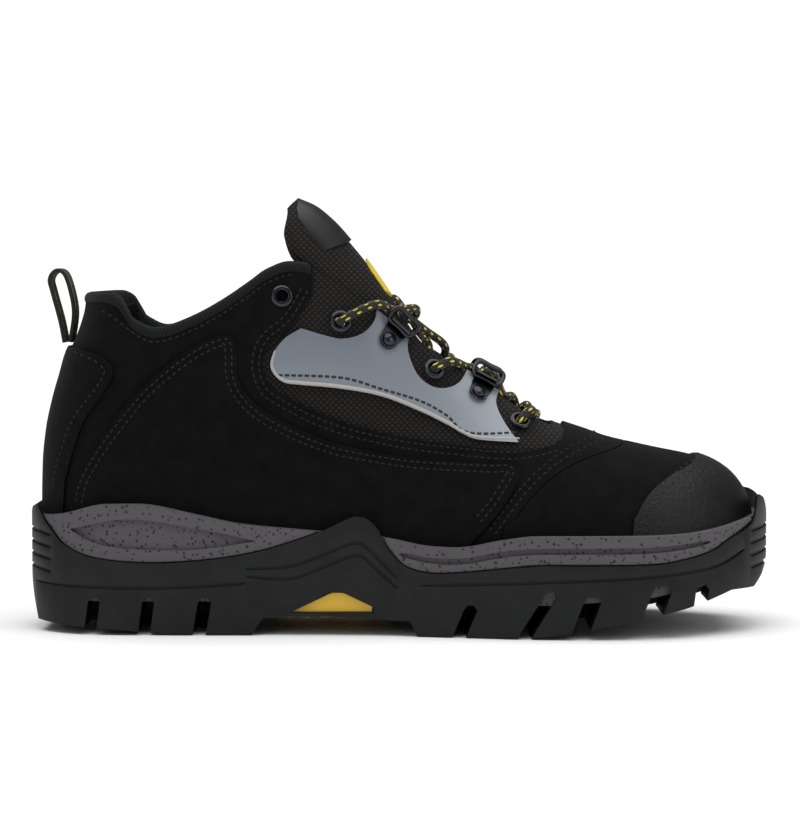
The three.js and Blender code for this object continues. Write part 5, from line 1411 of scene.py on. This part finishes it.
LACE_ROUTE = [
    outer_side(-50, 97, -9), outer_side(-44, 106, -8), outer_side(-34, 116, -6),
    *through_eyelet(outer_side, 1, False),
    outer_side(-20.4, 128, 5.6), outer_side(-12, 131.4, 5.4),
    over_tongue(-3, -14.5, -3.4), over_tongue(6.5, 0, 11), over_tongue(6, 8, 7),
    *under_bar(inner_side, 0, False),
    over_tongue(8.5, 8.5, 3), over_tongue(10.5, 0, LOW), over_tongue(12, -8, 1.2),
    *through_eyelet(outer_side, 2, False),
    outer_side(18, 106.6, 5.6), over_tongue(27, -9, 6.4), over_tongue(31, 0, HIGH),
    over_tongue(34.5, 7.5, 6.6),
    *under_bar(inner_side, 1, False),
    over_tongue(40.5, 8, 3), over_tongue(41, 0, LOW), over_tongue(44.4, -8, 1),
    *through_eyelet(outer_side, 3, False), outer_side(51, 85.4, 5.9),
    over_tongue(55, -11, 4.4), over_tongue(56.6, 0, 6.4), over_tongue(55, 11, 4.4),
    inner_side(51, 85.4, 5.9), *through_eyelet(inner_side, 3, True),
    over_tongue(48.4, 7, 3.6), over_tongue(46.5, 0, HIGH), over_tongue(42.6, -8, 6.8),
    *under_bar(outer_side, 1, True),
    over_tongue(29, -9, 2.4), over_tongue(23.6, 0, LOW), over_tongue(22, 8, 4),
    inner_side(18, 107, 5.6), *through_eyelet(inner_side, 2, True),
    over_tongue(18.6, 7, 4.4), over_tongue(18, 0, HIGH), over_tongue(11, -8, 7),
    *under_bar(outer_side, 0, True),
    over_tongue(0.6, -8, 2.6), over_tongue(1.5, 0, LOW), over_tongue(-2.4, 9, 1.8),
    inner_side(-12, 131.4, 5.4), inner_side(-20.4, 128, 5.6),
    *through_eyelet(inner_side, 1, True),
    inner_side(-34, 116, -6), inner_side(-44, 106, -8), inner_side(-50, 97, -9),
]
lace_path = catmull(LACE_ROUTE, 8)
LACE = tube("round_lace", lace_path, 1.75, 14)
LACE.data.materials.append(LACE_BRAID)
smooth(LACE, 60)
on_boot(LACE, ["lace"])
LACE_LENGTH = sum(np.linalg.norm(b - a) for a, b in zip(lace_path, lace_path[1:]))
print("lace", round(LACE_LENGTH), "mm")


# %% [markdown]
# The moulded overlay ends in a raised bead along its lower edge. A thin tube that tapers at both
# ends follows that edge. It is coloured pale as a painted highlight, where the bead
# catches the light.

# %% Pale rims of the moulded overlays, a painted highlight
def rim_radius(share):
    return 0.9 * math.sin(math.pi * (0.06 + share * 0.88)) ** 0.5


for side in (LATERAL, MEDIAL):
    edge = [Vector(p) for p in MOULDED_SIDE[5][:-2]]
    line = [on_upper(side, p.x, p.y, 2.5)[0] for p in curve_through(edge, 8)]
    rim = tube("overlay_rim_" + side_name(side), line, rim_radius, 10)
    rim.data.materials.append(OVERLAY_RIM_HIGHLIGHT)
    smooth(rim, 60)
    on_boot(rim, [])


# %% [markdown]
# The pull loop is flat webbing folded over and sewn in under the heel patch, with two thin woven
# stripes. It is soft but stiff enough to stand.

# %% Pull loop
def make_webbing():
    mat, tree, shader = new_material("woven_webbing", "#121214", 0.85)
    place = object_place(tree)
    parts = add(tree, "SeparateXYZ", {"Vector": place})
    centred = add(tree, "Math", {0: parts.outputs["Y"]}, operation="SUBTRACT", inputs={1: BOOT_SHIFT * MM})
    away = add(tree, "Math", {0: centred.outputs[0]}, operation="ABSOLUTE")
    stripe = add(tree, "Math", {0: away.outputs[0]}, operation="COMPARE", inputs={1: 5.6 * MM, 2: 0.55 * MM})
    two_tone(tree, shader, stripe.outputs[0], "#121214", "#b5a32a")
    bumped(tree, shader, crossed(tree, place, 1.2), 0.4, 0.2)
    return mat


LOOP_LINE = [(-138.3, 117), (-140, 126), (-143.2, 138), (-144.2, 143.2), (-141.6, 146.6), (-138, 145),
             (-135.2, 136), (-134.4, 128), (-136, 117.2)]


def strap(name, line, width, thick):
    path = np.array([(p.x, p.y) for p in curve_through(line, 8)])
    rings = []
    for i in range(len(path)):
        t = path[min(i + 1, len(path) - 1)] - path[max(i - 1, 0)]
        t /= np.linalg.norm(t)
        out = np.array([t[1], 0, -t[0]])
        centre = np.array([path[i][0], 0, path[i][1]])
        ring = []
        for a, b in ((-1, -0.5), (-0.94, -1), (-0.5, -1), (0, -1), (0.5, -1), (0.94, -1), (1, -0.5), (1, 0.5),
                     (0.94, 1), (0.5, 1), (0, 1), (-0.5, 1), (-0.94, 1), (-1, 0.5)):
            ring.append(centre + np.array([0, a * width / 2, 0]) + out * b * thick / 2)
        rings.append(np.array(ring))
    obj = swept(rings, name)
    smooth(obj, 40)
    return obj


LOOP_WIDTH, WEBBING_THICK = 14, 1.7
LOOP = strap("webbing_loop", LOOP_LINE, LOOP_WIDTH, WEBBING_THICK)
print("pull loop", LOOP_WIDTH, "mm wide")
LOOP.data.materials.append(make_webbing())
on_boot(LOOP, ["pull_loop"], "loop_body")


# %% [markdown]
# Plates, aglets, the arch pieces, the heel counter, the toe puff and the board are simple shapes.
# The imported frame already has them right, so they stay as they are and only get a material.

# %% The frame's own pieces keep their shape and get their finish
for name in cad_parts:
    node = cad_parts[name]
    if name.startswith("anchor_plate"):
        finish_for = GUNMETAL
    elif name.startswith("arch"):
        finish_for = AMBER
    elif name in ("heel_counter", "toe_puff", "lasting_board"):
        finish_for = BOARD
    elif name.startswith("aglet"):
        finish_for = LABEL
    else:
        continue
    node.data.materials.clear()
    node.data.materials.append(finish_for)

# %% [markdown]
# Studio: a plain pale floor, a large soft light over the boot and a pale surround, with the camera
# a little above the floor and looking at the lateral side.

# %% Floor, light and camera
bpy.ops.object.select_all(action="DESELECT")
bpy.ops.mesh.primitive_plane_add(size=60, location=(0, 0, -0.0002))
FLOOR = bpy.context.object
FLOOR.name = "studio_floor"
FLOOR.data.materials.append(new_material("matt_white_paper", "#f7f7f7", 0.9, Specular_IOR_Level=0.1)[0])

# The surround looks white, and it lights the boot less than it shows, so that black leather stays black.
world = bpy.data.worlds.new("pale surround")
bpy.context.scene.world = world
world.use_nodes = True
sky = world.node_tree.nodes["Background"]
sky.inputs["Color"].default_value = (1, 1, 1, 1)
seen = add(world.node_tree, "LightPath").outputs["Is Camera Ray"]
strength = add(world.node_tree, "MapRange", {"Value": seen}, inputs={"To Min": 0.2, "To Max": 1.05})
world.node_tree.links.new(strength.outputs[0], sky.inputs["Strength"])


def placed_light(name, kind, place, aim, energy, size=0.0):
    lamp = bpy.data.lights.new(name, kind)
    lamp.energy = energy
    if kind == "AREA":
        lamp.size = size
    else:
        lamp.angle = size
    obj = bpy.data.objects.new(name, lamp)
    bpy.context.collection.objects.link(obj)
    obj.location = place
    obj.rotation_euler = (Vector(aim) - Vector(place)).to_track_quat("-Z", "Y").to_euler()


placed_light("soft ceiling", "SUN", (0, -0.15, 2), (0, 0, 0), 3.1, 1.4)
placed_light("front softbox", "AREA", (-0.5, -0.9, 0.45), (0, 0, 0.08), 1.3, 0.5)
placed_light("toe side softbox", "AREA", (0.9, -0.5, 0.5), (0, 0, 0.08), 1.6, 0.5)

camera_data = bpy.data.cameras.new("camera")
camera_data.lens = 123.9
camera_data.sensor_width = 36
camera = bpy.data.objects.new("camera", camera_data)
bpy.context.collection.objects.link(camera)
AIM = Vector((0, 0, 0.0847))
DISTANCE, RAISED = 1.2, math.radians(3)
camera.location = AIM + Vector((0, -math.cos(RAISED), math.sin(RAISED))) * DISTANCE
camera.rotation_euler = (AIM - camera.location).to_track_quat("-Z", "Y").to_euler()
bpy.context.scene.camera = camera
bpy.context.scene.view_settings.view_transform = "Standard"
